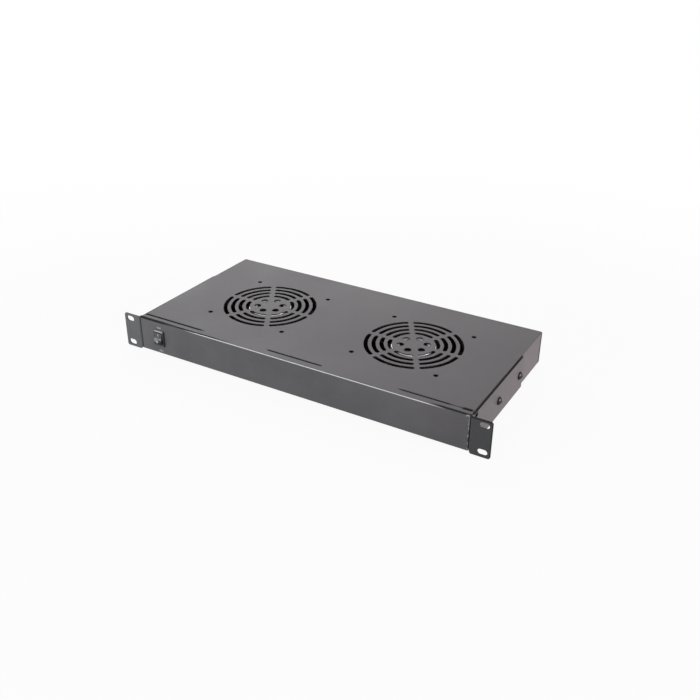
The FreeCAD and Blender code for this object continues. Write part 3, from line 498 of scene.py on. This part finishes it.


# fine textured powder coat on a folded sheet, with painted shade on its cut edges, and painted shade,
# highlights and wear along bends and seams
def coatedSteel(name, node, look):
    made = Look(name, look["colour"], look["roughness"], specular=look["gloss"])
    grain = made.group(grainGroup, Grain=look["grain"], Cloud=look["cloud"])
    colour = made.swingColour(grain.outputs["Tone"], look["colour"], look["toneSwing"])
    colour = made.mixColour(grain.outputs["Speck"], colour, look["speckColour"])
    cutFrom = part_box(node)[1].z - look["cutDepth"]
    cut = made.group(cutShadeGroup, Above=cutFrom, Upright=look["cutUpright"])
    colour = made.mixColour(cut.outputs["Mask"], colour, look["cutShadeColour"])
    smooth, rough = look["roughness"] - look["roughSwing"], look["roughness"] + look["roughSwing"]
    roughness = made.spread(grain.outputs["Tone"], smooth, rough)
    colour, roughness = made.paintLightAndWear(look["paintedLightAndWear"], colour, roughness)
    made.feed("Base Color", colour)
    made.feed("Roughness", roughness)
    made.bump(grain.outputs["Height"], look["grainDepth"])
    return made.material


coatLook = {
    "colour": (0.098, 0.093, 0.097),
    "roughness": 0.55,
    "roughSwing": 0.05,
    "gloss": 0.30,
    "grain": 1500.0,  # noise scale per metre
    "cloud": 11.0,
    "grainDepth": 0.06 * mm,
    "toneSwing": 0.15,
    "speckColour": (0.15, 0.145, 0.15),
    # painted shade on the cut edges
    "cutShadeColour": (0.008, 0.008, 0.008),
    "cutDepth": 1.1 * mm,
    "cutUpright": 1.0,
    "paintedLightAndWear": [],
}
# colours of painted shade: the deepest, the one in the open seam, and the one along the ears' edges
black, seamShadeGrey, edgeShadeGrey = (0.008,) * 3, (0.022,) * 3, (0.014,) * 3


# a stripe of painted shade, rougher as well
# "line" is where the stripe runs: Y and Z for one along X, X and Z along Y, Y and X along Z
def paintedShadeStripe(along, line, start, end, reach, fade=3.0 * mm, colour=black):
    return {
        "along": along, "line": line, "reach": reach, "from": start, "to": end, "fade": fade,
        "patches": 60.0, "amount": 1.0, "colour": colour, "dull": 0.45,
    }


# a stripe of painted highlight along a bend or edge, patchy where it stands for wear as well
def highlightAndWearStripe(along, line, start, end, reach, fade, patches, amount, tone=0.85):
    return {
        "along": along, "line": line, "reach": reach, "from": start, "to": end, "fade": fade,
        "patches": patches, "amount": amount, "colour": (tone,) * 3, "dull": 0.0,
    }


panelLow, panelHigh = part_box("front_panel")
trayLow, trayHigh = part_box("tray_housing")
earLow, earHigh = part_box("rack_ear_right")
bendInset = 0.47 * mm  # from a rounded bend's two faces to its middle
panelBend = (panelLow.y + bendInset, panelHigh.z - bendInset)
bendTop = (panelLow.y + 1.9 * mm, panelHigh.z)
bendTopRight = (panelLow.y + 2.3 * mm, panelHigh.z)
panelRightEdge = (panelLow.y + bendInset, panelHigh.x - bendInset)
panelLeftEdge = (panelLow.y + bendInset, panelLow.x + bendInset)
rearCorner = (trayHigh.y - 1.8 * mm, trayHigh.x)
legTop = earHigh.z - 1.0 * mm
flangeShadeEnd = 0.4 * mm  # the painted shade over the right ear's flange ends here

# the seam of panel and tray is open in the middle and towards both sides, and welded between; painted
# shade lies along the open parts
seam = (trayLow.y - 0.5 * mm, trayHigh.z)
openMiddle = 36.5 * mm
openSide = 130.5 * mm
cornerGap = 202.5 * mm
seamShadeStripes = [
    paintedShadeStripe("X", seam, panelLow.x - 12 * mm, -124 * mm, 2.0 * mm, 12 * mm),
    paintedShadeStripe("X", seam, -openMiddle, openMiddle, 1.7 * mm),
    paintedShadeStripe("X", seam, openSide, 194 * mm, 1.7 * mm, 6 * mm, seamShadeGrey),
    paintedShadeStripe("X", seam, cornerGap, panelHigh.x, 2.8 * mm),
]
# painted shade round the rim of the obround hole through panel, tray and right ear
jigLine = (trayHigh.x, trayHigh.z - 5.0 * mm)
jigShade = paintedShadeStripe("Y", jigLine, 6.4 * mm, 15.6 * mm, 3.8 * mm, 1 * mm)

panelShadeAndHighlights = seamShadeStripes + [
    # painted shade on the upper bend, towards both its ends
    paintedShadeStripe("X", bendTop, panelLow.x - 20 * mm, -162 * mm, 2.4 * mm, 20 * mm),
    paintedShadeStripe("X", bendTop, -190 * mm, -80 * mm, 1.5 * mm, 30 * mm),
    paintedShadeStripe("X", bendTopRight, 168 * mm, panelHigh.x + 20 * mm, 2.0 * mm, 16 * mm),
    jigShade,
    # painted shade down the panel's left end
    paintedShadeStripe("Z", panelLeftEdge, panelLow.z, panelHigh.z, 0.7 * mm),
    # a painted highlight as the long bright line on the upper bend; the knocks at its right end and down
    # its right edge are wear and painted highlight both
    highlightAndWearStripe("X", panelBend, -150 * mm, 190 * mm, 0.52 * mm, 24 * mm, 12.0, 1.0),
    highlightAndWearStripe("X", panelBend, 211 * mm, panelHigh.x, 1.5 * mm, 1 * mm, 620.0, 0.47, 0.5),
    highlightAndWearStripe("Z", panelRightEdge, panelLow.z, panelHigh.z, 0.7 * mm, 2 * mm, 200.0, 0.50, 0.50),
]
trayPaintedShade = seamShadeStripes + [
    # painted shade in the rear right corner, and in the grooves above the ears' legs
    paintedShadeStripe("Z", rearCorner, trayLow.z, trayHigh.z - 0.5 * mm, 4.0 * mm, 1 * mm),
    paintedShadeStripe("Y", (trayHigh.x, legTop), trayLow.y, earHigh.y, 1.3 * mm),
    paintedShadeStripe("Y", (trayLow.x, legTop), trayLow.y, earHigh.y, 1.7 * mm),
    jigShade,
]
rightEarPaintedShade = [
    # painted shade over its front flange, which is rougher as well, so it is darker than the leg behind
    # it
    paintedShadeStripe("Y", (earHigh.x, 0.0), -4 * mm, flangeShadeEnd, 60 * mm, 0.4 * mm, (0.067, 0.067, 0.069)),
    # painted shade along its inner end, its top edge and its outer end
    paintedShadeStripe("Z", (earLow.y, earLow.x), earLow.z, earHigh.z, 0.8 * mm),
    paintedShadeStripe("X", (earLow.y, earHigh.z), earLow.x, earHigh.x, 1.5 * mm, 1 * mm, edgeShadeGrey),
    paintedShadeStripe("Z", (earLow.y, earHigh.x), earLow.z, earHigh.z, 1.1 * mm, 1 * mm, edgeShadeGrey),
    # painted shade along the top edge of its leg
    paintedShadeStripe("Y", (earLow.x + 0.75 * mm, legTop), 3 * mm, earHigh.y, 1.3 * mm),
    jigShade,
]
panelLook = dict(coatLook, paintedLightAndWear=panelShadeAndHighlights)
trayLook = dict(coatLook, paintedLightAndWear=trayPaintedShade)
# painted shade on the ears' level cut edges; the right ear's coat is a darker copy of the same coat,
# painted shade
earLooks = {
    "left": dict(coatLook, colour=(0.098, 0.096, 0.099), cutUpright=0.0),
    "right": dict(coatLook, colour=(0.086, 0.082, 0.085), cutUpright=0.0, paintedLightAndWear=rightEarPaintedShade),
}


# a moulded plastic, rubber or paint with the fine texture of its mould
def plainMoulding(name, look):
    made = Look(name, look["colour"], look["roughness"], specular=look["gloss"])
    grain = made.group(grainGroup, Grain=look["grain"], Cloud=mouldingBase["cloud"])
    colour = made.swingColour(grain.outputs["Tone"], look["colour"], mouldingBase["toneSwing"])
    swing = mouldingBase["roughSwing"]
    roughness = made.spread(grain.outputs["Height"], look["roughness"] - swing, look["roughness"] + swing)
    colour, roughness = made.paintLightAndWear(look.get("paintedLightAndWear", []), colour, roughness)
    made.feed("Base Color", colour)
    made.feed("Roughness", roughness)
    made.bump(grain.outputs["Height"], look["grainDepth"])
    return made.material


mouldingBase = {"cloud": 30.0, "toneSwing": 0.12, "roughSwing": 0.06}
switchLow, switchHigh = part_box("switch_body")
# a painted highlight along the bezel's top edge
bezelHighlight = highlightAndWearStripe(
    "X", (switchLow.y + 0.3 * mm, switchHigh.z - 0.3 * mm), switchLow.x + 0.8 * mm,
    switchHigh.x - 0.8 * mm, 1.3 * mm, 1 * mm, 60.0, 1.0, 0.42,
)
# painted shade on the rocker's right and lower edges, which are rougher as well
rockerLow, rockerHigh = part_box("switch_rocker")
rockerShadeGrey = (0.024, 0.024, 0.026)
rockerRight = (rockerLow.y + 2.0 * mm, rockerHigh.x)
rockerFoot = (rockerLow.y, rockerLow.z)
rockerShades = [
    paintedShadeStripe("Z", rockerRight, rockerLow.z, 0.0, 7.2 * mm, 1 * mm, rockerShadeGrey),
    paintedShadeStripe("X", rockerFoot, rockerLow.x, rockerHigh.x, 4.4 * mm, 1 * mm, rockerShadeGrey),
]
mouldingLooks = {
    "switchPlastic": {
        "colour": (0.020, 0.020, 0.022), "roughness": 0.40, "gloss": 0.45,
        "grain": 2600.0, "grainDepth": 0.020 * mm, "paintedLightAndWear": [bezelHighlight],
    },
    "rockerPlastic": {
        "colour": (0.042, 0.042, 0.045), "roughness": 0.36, "gloss": 0.42,
        "grain": 2200.0, "grainDepth": 0.003 * mm, "paintedLightAndWear": rockerShades,
    },
    "inletPlastic": {
        "colour": (0.020, 0.020, 0.021), "roughness": 0.48, "gloss": 0.4,
        "grain": 2400.0, "grainDepth": 0.020 * mm,
    },
    "blockPlastic": {
        "colour": (0.42, 0.41, 0.38), "roughness": 0.5, "gloss": 0.5,
        "grain": 1800.0, "grainDepth": 0.020 * mm,
    },
    "carrierPlastic": {
        "colour": (0.50, 0.47, 0.40), "roughness": 0.5, "gloss": 0.5,
        "grain": 1800.0, "grainDepth": 0.020 * mm,
    },
    "bladePlastic": {
        "colour": (0.004, 0.004, 0.0045), "roughness": 0.6, "gloss": 0.07,
        "grain": 1400.0, "grainDepth": 0.030 * mm,
    },
    "plugRubber": {
        "colour": (0.020, 0.020, 0.020), "roughness": 0.7, "gloss": 0.3,
        "grain": 1600.0, "grainDepth": 0.030 * mm,
    },
    "castingPaint": {
        "colour": (0.004, 0.004, 0.0045), "roughness": 0.6, "gloss": 0.06,
        "grain": 900.0, "grainDepth": 0.080 * mm,
    },
    "screwBlack": {
        "colour": (0.006, 0.006, 0.007), "roughness": 0.34, "gloss": 0.25,
        "grain": 2600.0, "grainDepth": 0.010 * mm,
    },
    "screwDull": {
        "colour": (0.003, 0.003, 0.003), "roughness": 0.8, "gloss": 0.02,
        "grain": 2600.0, "grainDepth": 0.010 * mm,
    },
    "legendInk": {
        "colour": (0.60, 0.60, 0.62), "roughness": 0.5, "gloss": 0.4,
        "grain": 2600.0, "grainDepth": 0.010 * mm,
    },
    "markInk": {
        "colour": (0.85, 0.85, 0.85), "roughness": 0.5, "gloss": 0.4,
        "grain": 2600.0, "grainDepth": 0.010 * mm,
    },
}


# a cup's dull face, pale ring and black rim, and the bright drawn step that falls outward round the face
def cupFinish(made, rings, look):
    radius = rings.outputs["Radius"]
    pale = rampNode(made.tree, radius, look["faceRadius"], look["faceRadius"] + look["faceSoft"])
    rim = rampNode(made.tree, radius, look["rimRadius"], look["rimRadius"] + look["rimSoft"])
    bright = rampNode(made.tree, radius, look["stepRadius"] - look["stepSoft"], look["stepRadius"])
    fall = rampNode(made.tree, radius, look["stepRadius"], look["rimRadius"])
    colour = made.mixColour(pale, look["faceColour"], look["colour"])
    colour = made.mixColour(rim, colour, look["rimColour"])
    bare = made.spread(pale, look["faceMetal"], 0.0)
    made.feed("Metallic", mathNode(made.tree, "MAXIMUM", bare, bright))
    ringShare = look["ringDepth"] / look["stepDepth"]
    fine = mathNode(made.tree, "MULTIPLY", rings.outputs["Height"], ringShare)
    return colour, mathNode(made.tree, "SUBTRACT", fine, fall), look["stepDepth"]


# bare metal with the rings of its lathe or its drawing
def turnedMetal(name, look, centre):
    made = Look(name, look["colour"], look["roughness"], metallic=1.0)
    rings = made.group(ringsGroup, Centre=centre, Pitch=look["pitch"])
    if "faceRadius" in look:
        colour, height, depth = cupFinish(made, rings, look)
    else:
        dark = tuple(c * metalBase["darkShare"] for c in look["colour"])
        colour = made.mixColour(rings.outputs["Tone"], dark, look["colour"])
        height, depth = rings.outputs["Height"], look["ringDepth"]
    smooth, rough = look["roughness"] - metalBase["smoother"], look["roughness"] + metalBase["rougher"]
    made.feed("Base Color", colour)
    made.feed("Roughness", made.spread(rings.outputs["Height"], smooth, rough))
    made.bump(height, depth)
    return made.material


metalBase = {"darkShare": 0.8, "smoother": 0.08, "rougher": 0.12}
metalLooks = {
    "rotorMetal": {
        "colour": (0.80, 0.80, 0.81), "roughness": 0.34, "pitch": 0.50 * mm, "ringDepth": 0.12 * mm,
        "faceRadius": 16.0 * mm, "faceSoft": 1.0 * mm, "faceMetal": 0.9,
        "faceColour": (0.020, 0.020, 0.021),
        "stepRadius": 23.5 * mm, "stepSoft": 0.3 * mm, "stepDepth": 2.6 * mm,
        "rimRadius": 25.4 * mm, "rimSoft": 0.4 * mm, "rimColour": (0.008, 0.008, 0.008),
    },
    "cageMetal": {
        "colour": (0.55, 0.55, 0.56), "roughness": 0.4, "pitch": 0.6 * mm, "ringDepth": 0.03 * mm,
    },
    "shaftSteel": {
        "colour": (0.62, 0.62, 0.63), "roughness": 0.2, "pitch": 0.3 * mm, "ringDepth": 0.01 * mm,
    },
    "clipSteel": {
        "colour": (0.25, 0.25, 0.27), "roughness": 0.35, "pitch": 0.4 * mm, "ringDepth": 0.01 * mm,
    },
    "bearingSteel": {
        "colour": (0.66, 0.66, 0.68), "roughness": 0.18, "pitch": 0.5 * mm, "ringDepth": 0.01 * mm,
    },
    "zincPlate": {
        "colour": (0.60, 0.61, 0.64), "roughness": 0.3, "pitch": 0.7 * mm, "ringDepth": 0.01 * mm,
    },
    "guardNickel": {
        "colour": (0.62, 0.61, 0.60), "roughness": 0.24, "pitch": 1.1 * mm, "ringDepth": 0.01 * mm,
    },
    "tinPlate": {
        "colour": (0.66, 0.62, 0.52), "roughness": 0.3, "pitch": 0.6 * mm, "ringDepth": 0.01 * mm,
    },
}


# laminations and windings: the layers show as fine dark lines
def layeredMetal(name, look):
    made = Look(name, look["colour"], look["roughness"], metallic=look["metallic"])
    layers = made.group(layersGroup, Pitch=look["pitch"])
    dark = tuple(c * look["darkShare"] for c in look["colour"])
    made.feed("Base Color", made.mixColour(layers.outputs["Height"], dark, look["colour"]))
    made.bump(layers.outputs["Height"], look["layerDepth"])
    return made.material


layerLooks = {
    "lamination": {
        "colour": (0.32, 0.32, 0.33), "roughness": 0.45, "metallic": 1.0,
        "pitch": 0.50 * mm, "layerDepth": 0.06 * mm, "darkShare": 0.45,
    },
    "winding": {
        "colour": (0.62, 0.25, 0.10), "roughness": 0.35, "metallic": 0.7,
        "pitch": 0.35 * mm, "layerDepth": 0.10 * mm, "darkShare": 0.45,
    },
}


def dress(node, material):
    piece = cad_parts[node]
    piece.data.materials.clear()
    piece.data.materials.append(material)


def boxCentre(node):
    low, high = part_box(node)
    return (low + high) / 2


dress("tray_housing", coatedSteel("trayCoat", "tray_housing", trayLook))
dress("front_panel", coatedSteel("panelCoat", "front_panel", panelLook))
for hand in ("left", "right"):
    dress("rack_ear_" + hand, coatedSteel("earCoat_" + hand, "rack_ear_" + hand, earLooks[hand]))

mouldings = {name: plainMoulding(name, look) for name, look in mouldingLooks.items()}
zinc = turnedMetal("zincPlate", metalLooks["zincPlate"], (0.0, 0.0, 0.0))
tin = turnedMetal("tinPlate", metalLooks["tinPlate"], (0.0, 0.0, 0.0))
layered = {name: layeredMetal(name, look) for name, look in layerLooks.items()}

plainFinishes = {
    "clamp_screws": zinc,
    "earth_stud": zinc,
    "earth_nut": zinc,
    "switch_body": mouldings["switchPlastic"],
    "switch_rocker": mouldings["rockerPlastic"],
    "switch_terminals": tin,
    "inlet_body": mouldings["inletPlastic"],
    "inlet_pins": tin,
    "terminal_block": mouldings["blockPlastic"],
}
for node, material in plainFinishes.items():
    dress(node, material)

fanFinishes = {
    "fan_frame": mouldings["castingPaint"],
    "impeller": mouldings["bladePlastic"],
    "bearing_plug": mouldings["plugRubber"],
    "terminal_carrier": mouldings["carrierPlastic"],
    "stator_core": layered["lamination"],
    "stator_coils": layered["winding"],
}
fanMetals = {
    "rotor_cup": "rotorMetal",
    "rotor_cage": "cageMetal",
    "shaft": "shaftSteel",
    "shaft_clip": "clipSteel",
    "bearings": "bearingSteel",
    "finger_guard": "guardNickel",
    "terminal_tabs": "tinPlate",
}
for hand in ("left", "right"):
    axis = boxCentre("rotor_cup_" + hand)
    for part, material in fanFinishes.items():
        dress(part + "_" + hand, material)
    for part, name in fanMetals.items():
        dress(part + "_" + hand, turnedMetal(name + "_" + hand, metalLooks[name], axis))
print("materials made")


# one mesh from grids of points, each rows x columns x 3 and closed round its columns
def pieceFromGrids(name, grids, material, body, replaced):
    weldReach, leastEdge = 0.002 * mm, 0.0005 * mm
    sharpFrom = math.radians(32)
    points, faces, used = [], [], 0
    for grid in grids:
        rows, columns = grid.shape[:2]
        index = np.arange(rows * columns).reshape(rows, columns) + used
        aside = np.roll(index, -1, axis=1)
        faces.append(np.stack((index[:-1], aside[:-1], aside[1:], index[1:]), axis=-1).reshape(-1, 4))
        points.append(grid.reshape(-1, 3))
        used += rows * columns
    mesh = bpy.data.meshes.new(name)
    mesh.from_pydata(np.concatenate(points).tolist(), [], np.concatenate(faces).tolist())
    form = bmesh.new()
    form.from_mesh(mesh)
    bmesh.ops.remove_doubles(form, verts=form.verts, dist=weldReach)
    bmesh.ops.dissolve_degenerate(form, edges=form.edges, dist=leastEdge)
    form.to_mesh(mesh)
    form.free()
    mesh.shade_smooth()
    mesh.set_sharp_from_angle(angle=sharpFrom)
    mesh.materials.append(material)
    piece = bpy.data.objects.new(name, mesh)
    scene.collection.objects.link(piece)
    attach(piece, body)
    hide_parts(*replaced)


# local z onto the direction and local x onto the sideways one, then to the place
def setAt(grid, place, direction, sideways):
    upwards, across = np.array(direction, float), np.array(sideways, float)
    return grid @ np.array((across, np.cross(upwards, across), upwards)) + np.array(place)


# the columns' angles, with one on each corner of a plus shape
def plusAngles(half, reach):
    corner, eighth = math.atan2(half, reach), math.pi / 4
    sideColumns, endColumns = 6, 4
    quarter = np.concatenate((
        np.linspace(-eighth, -corner, sideColumns, endpoint=False),
        np.linspace(-corner, corner, endColumns, endpoint=False),
        np.linspace(corner, eighth, sideColumns, endpoint=False),
    ))
    return (np.arange(4)[:, None] * math.pi / 2 + quarter[None, :]).ravel()


# distance from the axis to the rim of a plus shape: reach over cosine at an arm's end, half over sine
# along its sides
def plusRadius(angles, half, reach):
    folded = np.abs((angles + math.pi / 4) % (math.pi / 2) - math.pi / 4)
    return np.minimum(reach / np.cos(folded), half / np.maximum(np.sin(folded), 1e-9))


# rows of radius and height along the angles, as a grid that faces outward
def gridFromRows(rows, angles):
    radius = np.array([row[0] + 0 * angles for row in rows])
    height = np.array([row[1] + 0 * angles for row in rows])
    return np.stack((radius * np.cos(angles), radius * np.sin(angles), height), axis=-1)[::-1]


# a screw with its head's underside, or its flat face, at z 0 and its shank below; its dome's height is
# the head's less the dome's radius, plus the root of that radius squared less the distance squared; its
# thread's radius falls by a triangle wave of z over the pitch plus the angle over a whole turn
def screwGrid(look):
    half, reach = look["crossWidth"] / 2, look["headRadius"] * look["crossReach"]
    angles = plusAngles(half, reach)
    head, shank, flat = look["headRadius"], look["shankRadius"], look["headHeight"] == 0
    rise = look["headHeight"] * (1 - look["rimShare"])
    dome = 1.0 if flat else (head**2 + rise**2) / (2 * rise)
    mouth = plusRadius(angles, half, reach)
    taper = look["crossTaper"]
    floor = plusRadius(angles, half * taper, look["crossWidth"] * taper)

    def crown(radius):
        if flat:
            return np.zeros_like(radius)
        return look["headHeight"] - dome + np.sqrt(dome**2 - radius**2)

    # the recess, from the middle of its floor to its mouth, then the face round it
    rows = []
    bottom = look["headHeight"] - look["crossDepth"]
    for share in (0.02, 0.5, 1.0):
        rows.append((floor * share, bottom - look["crossPoint"] * (1 - share)))
    for share in (0.5, 0.96):
        rows.append((floor + (mouth - floor) * share, bottom + (crown(mouth) - bottom) * share))
    lip, edge = look["lip"], look["edge"]
    for share in (0.0, *np.linspace(0.02, 0.93, 12)):
        radius = mouth + lip + (head - mouth - lip) * share
        rows.append((radius, crown(radius)))

    # the head's rounded edge and its underside; a flat one's edge starts at its face and ends in a cone
    rim = 0.0 if flat else float(crown(np.array(head - edge)))
    for turn in (1.2, 0.8, 0.4, 0.0):
        rows.append((head - edge * (1 - math.cos(turn)), rim - edge * (1 - math.sin(turn))))
    if flat:
        rows.append((shank, shank - head))
    else:
        rows += [(head, edge), (head - edge, 0.0), (shank, 0.0)]

    # the plain shank, the thread and the chamfered tip
    start, end = look["threadLength"] - look["length"], look["tip"] - look["length"]
    rows.append((shank, start))
    for level in np.arange(start, end, -look["pitch"] / look["turnSteps"])[1:]:
        turn = level / look["pitch"] + angles / (2 * math.pi)
        wave = 2 * np.abs((turn % 1.0) - 0.5)
        fade = min(1.0, (start - level) / look["pitch"])
        rows.append((shank - look["threadDepth"] * wave * fade, level))
    rows.append((shank - look["threadDepth"], end))
    rows += [(shank * look["tipShare"], -look["length"]), (shank * 0.01, -look["length"])]
    return gridFromRows(rows, angles)


# a hexagon nut standing on z 0: half its width over the cosine of the angle from a flat's middle, cut
# down by a cone at both ends, and a chamfered bore
def nutGrid(look):
    angles = np.arange(72) * math.radians(5)  # with one on each corner
    across, bore, height = look["flats"] / 2, look["bore"], look["height"]
    flats = across / np.cos(angles % math.radians(60) - math.radians(30))
    face = across * look["faceShare"]
    lead = look["lead"]
    drop = np.maximum(flats - face, 0) * math.tan(math.radians(look["coneAngle"]))
    rows = [(bore, height - lead), (bore + lead, height), (face, height)]
    for share in (0.5, 1.0):
        rows.append((face + (flats - face) * share, height - drop * share))
    for share in (0.75, 0.5, 0.25):
        rows.append((flats, drop + (height - 2 * drop) * share))
    for share in (1.0, 0.5):
        rows.append((face + (flats - face) * share, drop * share))
    rows += [(face, 0.0), (bore + lead, 0.0), (bore, lead)]
    rows.append(rows[0])
    return gridFromRows(rows, angles)


# the sizes of one screw; the thread is what stands behind the sheets
screwBase = {
    "crossWidth": 0.9 * mm, "crossReach": 0.52, "crossDepth": 1.0 * mm, "crossTaper": 0.9,
    "crossPoint": 0.15 * mm, "rimShare": 0.38, "lip": 0.06 * mm, "edge": 0.12 * mm,
    "tip": 0.3 * mm, "tipShare": 0.72, "turnSteps": 6,
}
screwLooks = {
    "ear": {
        "headRadius": 4.75 * mm, "headHeight": 3.7 * mm, "shankRadius": 2.5 * mm, "length": 7.5 * mm,
        "threadLength": 4.8 * mm, "pitch": 0.8 * mm, "threadDepth": 0.42 * mm,
    },
    "fan": {
        "headRadius": 2.9 * mm, "headHeight": 0.0, "shankRadius": 1.5 * mm, "length": 8.9 * mm,
        "threadLength": 3.2 * mm, "pitch": 0.5 * mm, "threadDepth": 0.28 * mm,
    },
    "guard": {
        "headRadius": 3.8 * mm, "headHeight": 2.36 * mm, "shankRadius": 2.0 * mm, "length": 10.1 * mm,
        "threadLength": 4.0 * mm, "pitch": 0.7 * mm, "threadDepth": 0.36 * mm,
    },
    "inlet": {
        "headRadius": 2.9 * mm, "headHeight": 0.0, "shankRadius": 1.5 * mm, "length": 7.4 * mm,
        "threadLength": 3.2 * mm, "pitch": 0.5 * mm, "threadDepth": 0.28 * mm,
    },
    "block": {
        "headRadius": 2.9 * mm, "headHeight": 1.75 * mm, "shankRadius": 1.5 * mm, "length": 8.4 * mm,
        "threadLength": 3.2 * mm, "pitch": 0.5 * mm, "threadDepth": 0.28 * mm,
    },
}
nutBase = {"lead": 0.3 * mm, "faceShare": 0.97, "coneAngle": 30}
nutLooks = {
    "ear": {"flats": 8.0 * mm, "height": 4.0 * mm, "bore": 2.55 * mm},
    "fan": {"flats": 5.5 * mm, "height": 2.4 * mm, "bore": 1.55 * mm},
    "guard": {"flats": 7.0 * mm, "height": 3.2 * mm, "bore": 2.05 * mm},
    "inlet": {"flats": 5.5 * mm, "height": 2.4 * mm, "bore": 1.55 * mm},
    "block": {"flats": 5.5 * mm, "height": 2.4 * mm, "bore": 1.55 * mm},
}
fanHoleInset = 7.5 * mm  # a fan's screws from its sides


# the low and high middles of a group's own screws along one axis
def ends(node, axis, radius):
    low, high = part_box(node)
    return low[axis] + radius, high[axis] - radius


def fanCorners():
    corners = []
    for hand in ("left", "right"):
        low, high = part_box("fan_frame_" + hand)
        for x in (low.x + fanHoleInset, high.x - fanHoleInset):
            corners += [(x, y) for y in (low.y + fanHoleInset, high.y - fanHoleInset)]
    return corners


def legPlaces(out):
    radius = screwLooks["ear"]["headRadius"]
    return [(sign * out, y) for sign in (-1, 1) for y in ends("ear_screws", 1, radius)]


rightward, rearward, upward = (1, 0, 0), (0, 1, 0), (0, 0, 1)
forward, downward = (0, -1, 0), (0, 0, -1)
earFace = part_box("ear_screws")[1].x - screwLooks["ear"]["headHeight"]
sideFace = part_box("ear_nuts")[1].x
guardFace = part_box("guard_screws")[1].z - screwLooks["guard"]["length"]
fanNutFoot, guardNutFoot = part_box("fan_nuts")[0].z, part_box("guard_nuts")[0].z
inletFace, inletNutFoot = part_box("inlet_screws")[1].y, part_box("inlet_nuts")[1].y
inletHeight = boxCentre("inlet_screws").z
inletEnds = ends("inlet_screws", 0, screwLooks["inlet"]["headRadius"])
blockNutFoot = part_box("block_nut")[1].y
blockMiddle = boxCentre("block_nut")

# node: (kind, places as a point, the head's direction and local x, material, slot)
screwSets = {
    "ear_screws": (
        "ear", [((x, y, 0.0), (math.copysign(1, x), 0, 0), upward) for x, y in legPlaces(earFace)],
        mouldings["screwBlack"], "black_screw",
    ),
    "fan_screws": (
        "fan", [((x, y, cadHigh.z), upward, rightward) for x, y in fanCorners()],
        mouldings["screwDull"], "black_screw",
    ),
    "guard_screws": (
        "guard", [((x, y, guardFace), downward, rightward) for x, y in fanCorners()],
        zinc, "zinc",
    ),
    "inlet_screws": (
        "inlet", [((x, inletFace, inletHeight), rearward, rightward) for x in inletEnds],
        mouldings["screwBlack"], "black_screw",
    ),
    "block_screw": (
        "block", [((blockMiddle.x, trayHigh.y, blockMiddle.z), rearward, rightward)],
        mouldings["screwBlack"], "black_screw",
    ),
}
nutSets = {
    "ear_nuts": (
        "ear", [((x, y, 0.0), (-math.copysign(1, x), 0, 0), upward) for x, y in legPlaces(sideFace)],
    ),
    "fan_nuts": ("fan", [((x, y, fanNutFoot), upward, rightward) for x, y in fanCorners()]),
    "guard_nuts": ("guard", [((x, y, guardNutFoot), upward, rightward) for x, y in fanCorners()]),
    "inlet_nuts": ("inlet", [((x, inletNutFoot, inletHeight), forward, rightward) for x in inletEnds]),
    "block_nut": ("block", [((blockMiddle.x, blockNutFoot, blockMiddle.z), forward, rightward)]),
}
for node, (kind, places, material, slotName) in screwSets.items():
    grid = screwGrid(dict(screwBase, **screwLooks[kind]))
    grids = [setAt(grid, *place) for place in places]
    pieceFromGrids(node + "_cut", grids, material, "tray", [node])
for node, (kind, places) in nutSets.items():
    grid = nutGrid(dict(nutBase, **nutLooks[kind]))
    grids = [setAt(grid, *place) for place in places]
    pieceFromGrids(node + "_cut", grids, zinc, "tray", [node])
print("screws and nuts made")


# x and z are the words' middle on the face, from the switch's middle
legendLooks = {
    "legendOn": {
        "words": "ON", "size": 3.6 * mm, "x": 0.0, "z": 13.4 * mm,
        "onto": "front_panel", "body": "tray", "ink": "legendInk", "slot": "panel_coat",
    },
    "legendOff": {
        "words": "OFF", "size": 3.6 * mm, "x": 1.1 * mm, "z": -17.3 * mm,
        "onto": "front_panel", "body": "tray", "ink": "legendInk", "slot": "panel_coat",
    },
    "markOn": {
        "words": "I", "size": 5.0 * mm, "x": 0.0, "z": 4.6 * mm,
        "onto": "switch_rocker", "body": "rocker", "ink": "markInk", "slot": "rocker_plastic",
    },
    "markOff": {
        "words": "O", "size": 3.6 * mm, "x": 0.0, "z": -3.6 * mm,
        "onto": "switch_rocker", "body": "rocker", "ink": "markInk", "slot": "rocker_plastic",
    },
}
inkThickness = 0.03 * mm
rayStart = -0.1  # well before the panel


# letters laid on a face that looks forward: their middle where a ray from the front meets it, along its
# normal
def makeLegend(name, look):
    curve = bpy.data.curves.new(name + "_text", "FONT")
    curve.body = look["words"]
    curve.size = look["size"]
    curve.align_x = "CENTER"
    curve.align_y = "CENTER"
    curve.extrude = inkThickness
    curve.resolution_u = 4
    writing = bpy.data.objects.new(name + "_text", curve)
    scene.collection.objects.link(writing)
    bpy.context.view_layer.update()
    mesh = bpy.data.meshes.new_from_object(writing.evaluated_get(bpy.context.evaluated_depsgraph_get()))
    bpy.data.objects.remove(writing)
    middle = boxCentre("switch_body")
    start = Vector((middle.x + look["x"], rayStart, middle.z + look["z"]))
    hit, place, normal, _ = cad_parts[look["onto"]].ray_cast(start, Vector(rearward))
    if not hit:
        raise RuntimeError(name + " found no face to lie on")
    sideways = Vector(rightward)
    turn = Matrix((sideways, normal.cross(sideways), normal)).transposed()
    mesh.transform(Matrix.Translation(place) @ turn.to_4x4())
    mesh.name = name
    mesh.materials.clear()
    mesh.materials.append(mouldings[look["ink"]])
    piece = bpy.data.objects.new(name, mesh)
    scene.collection.objects.link(piece)
    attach(piece, look["body"])


for name, look in legendLooks.items():
    makeLegend(name, look)
print("switch legends made")
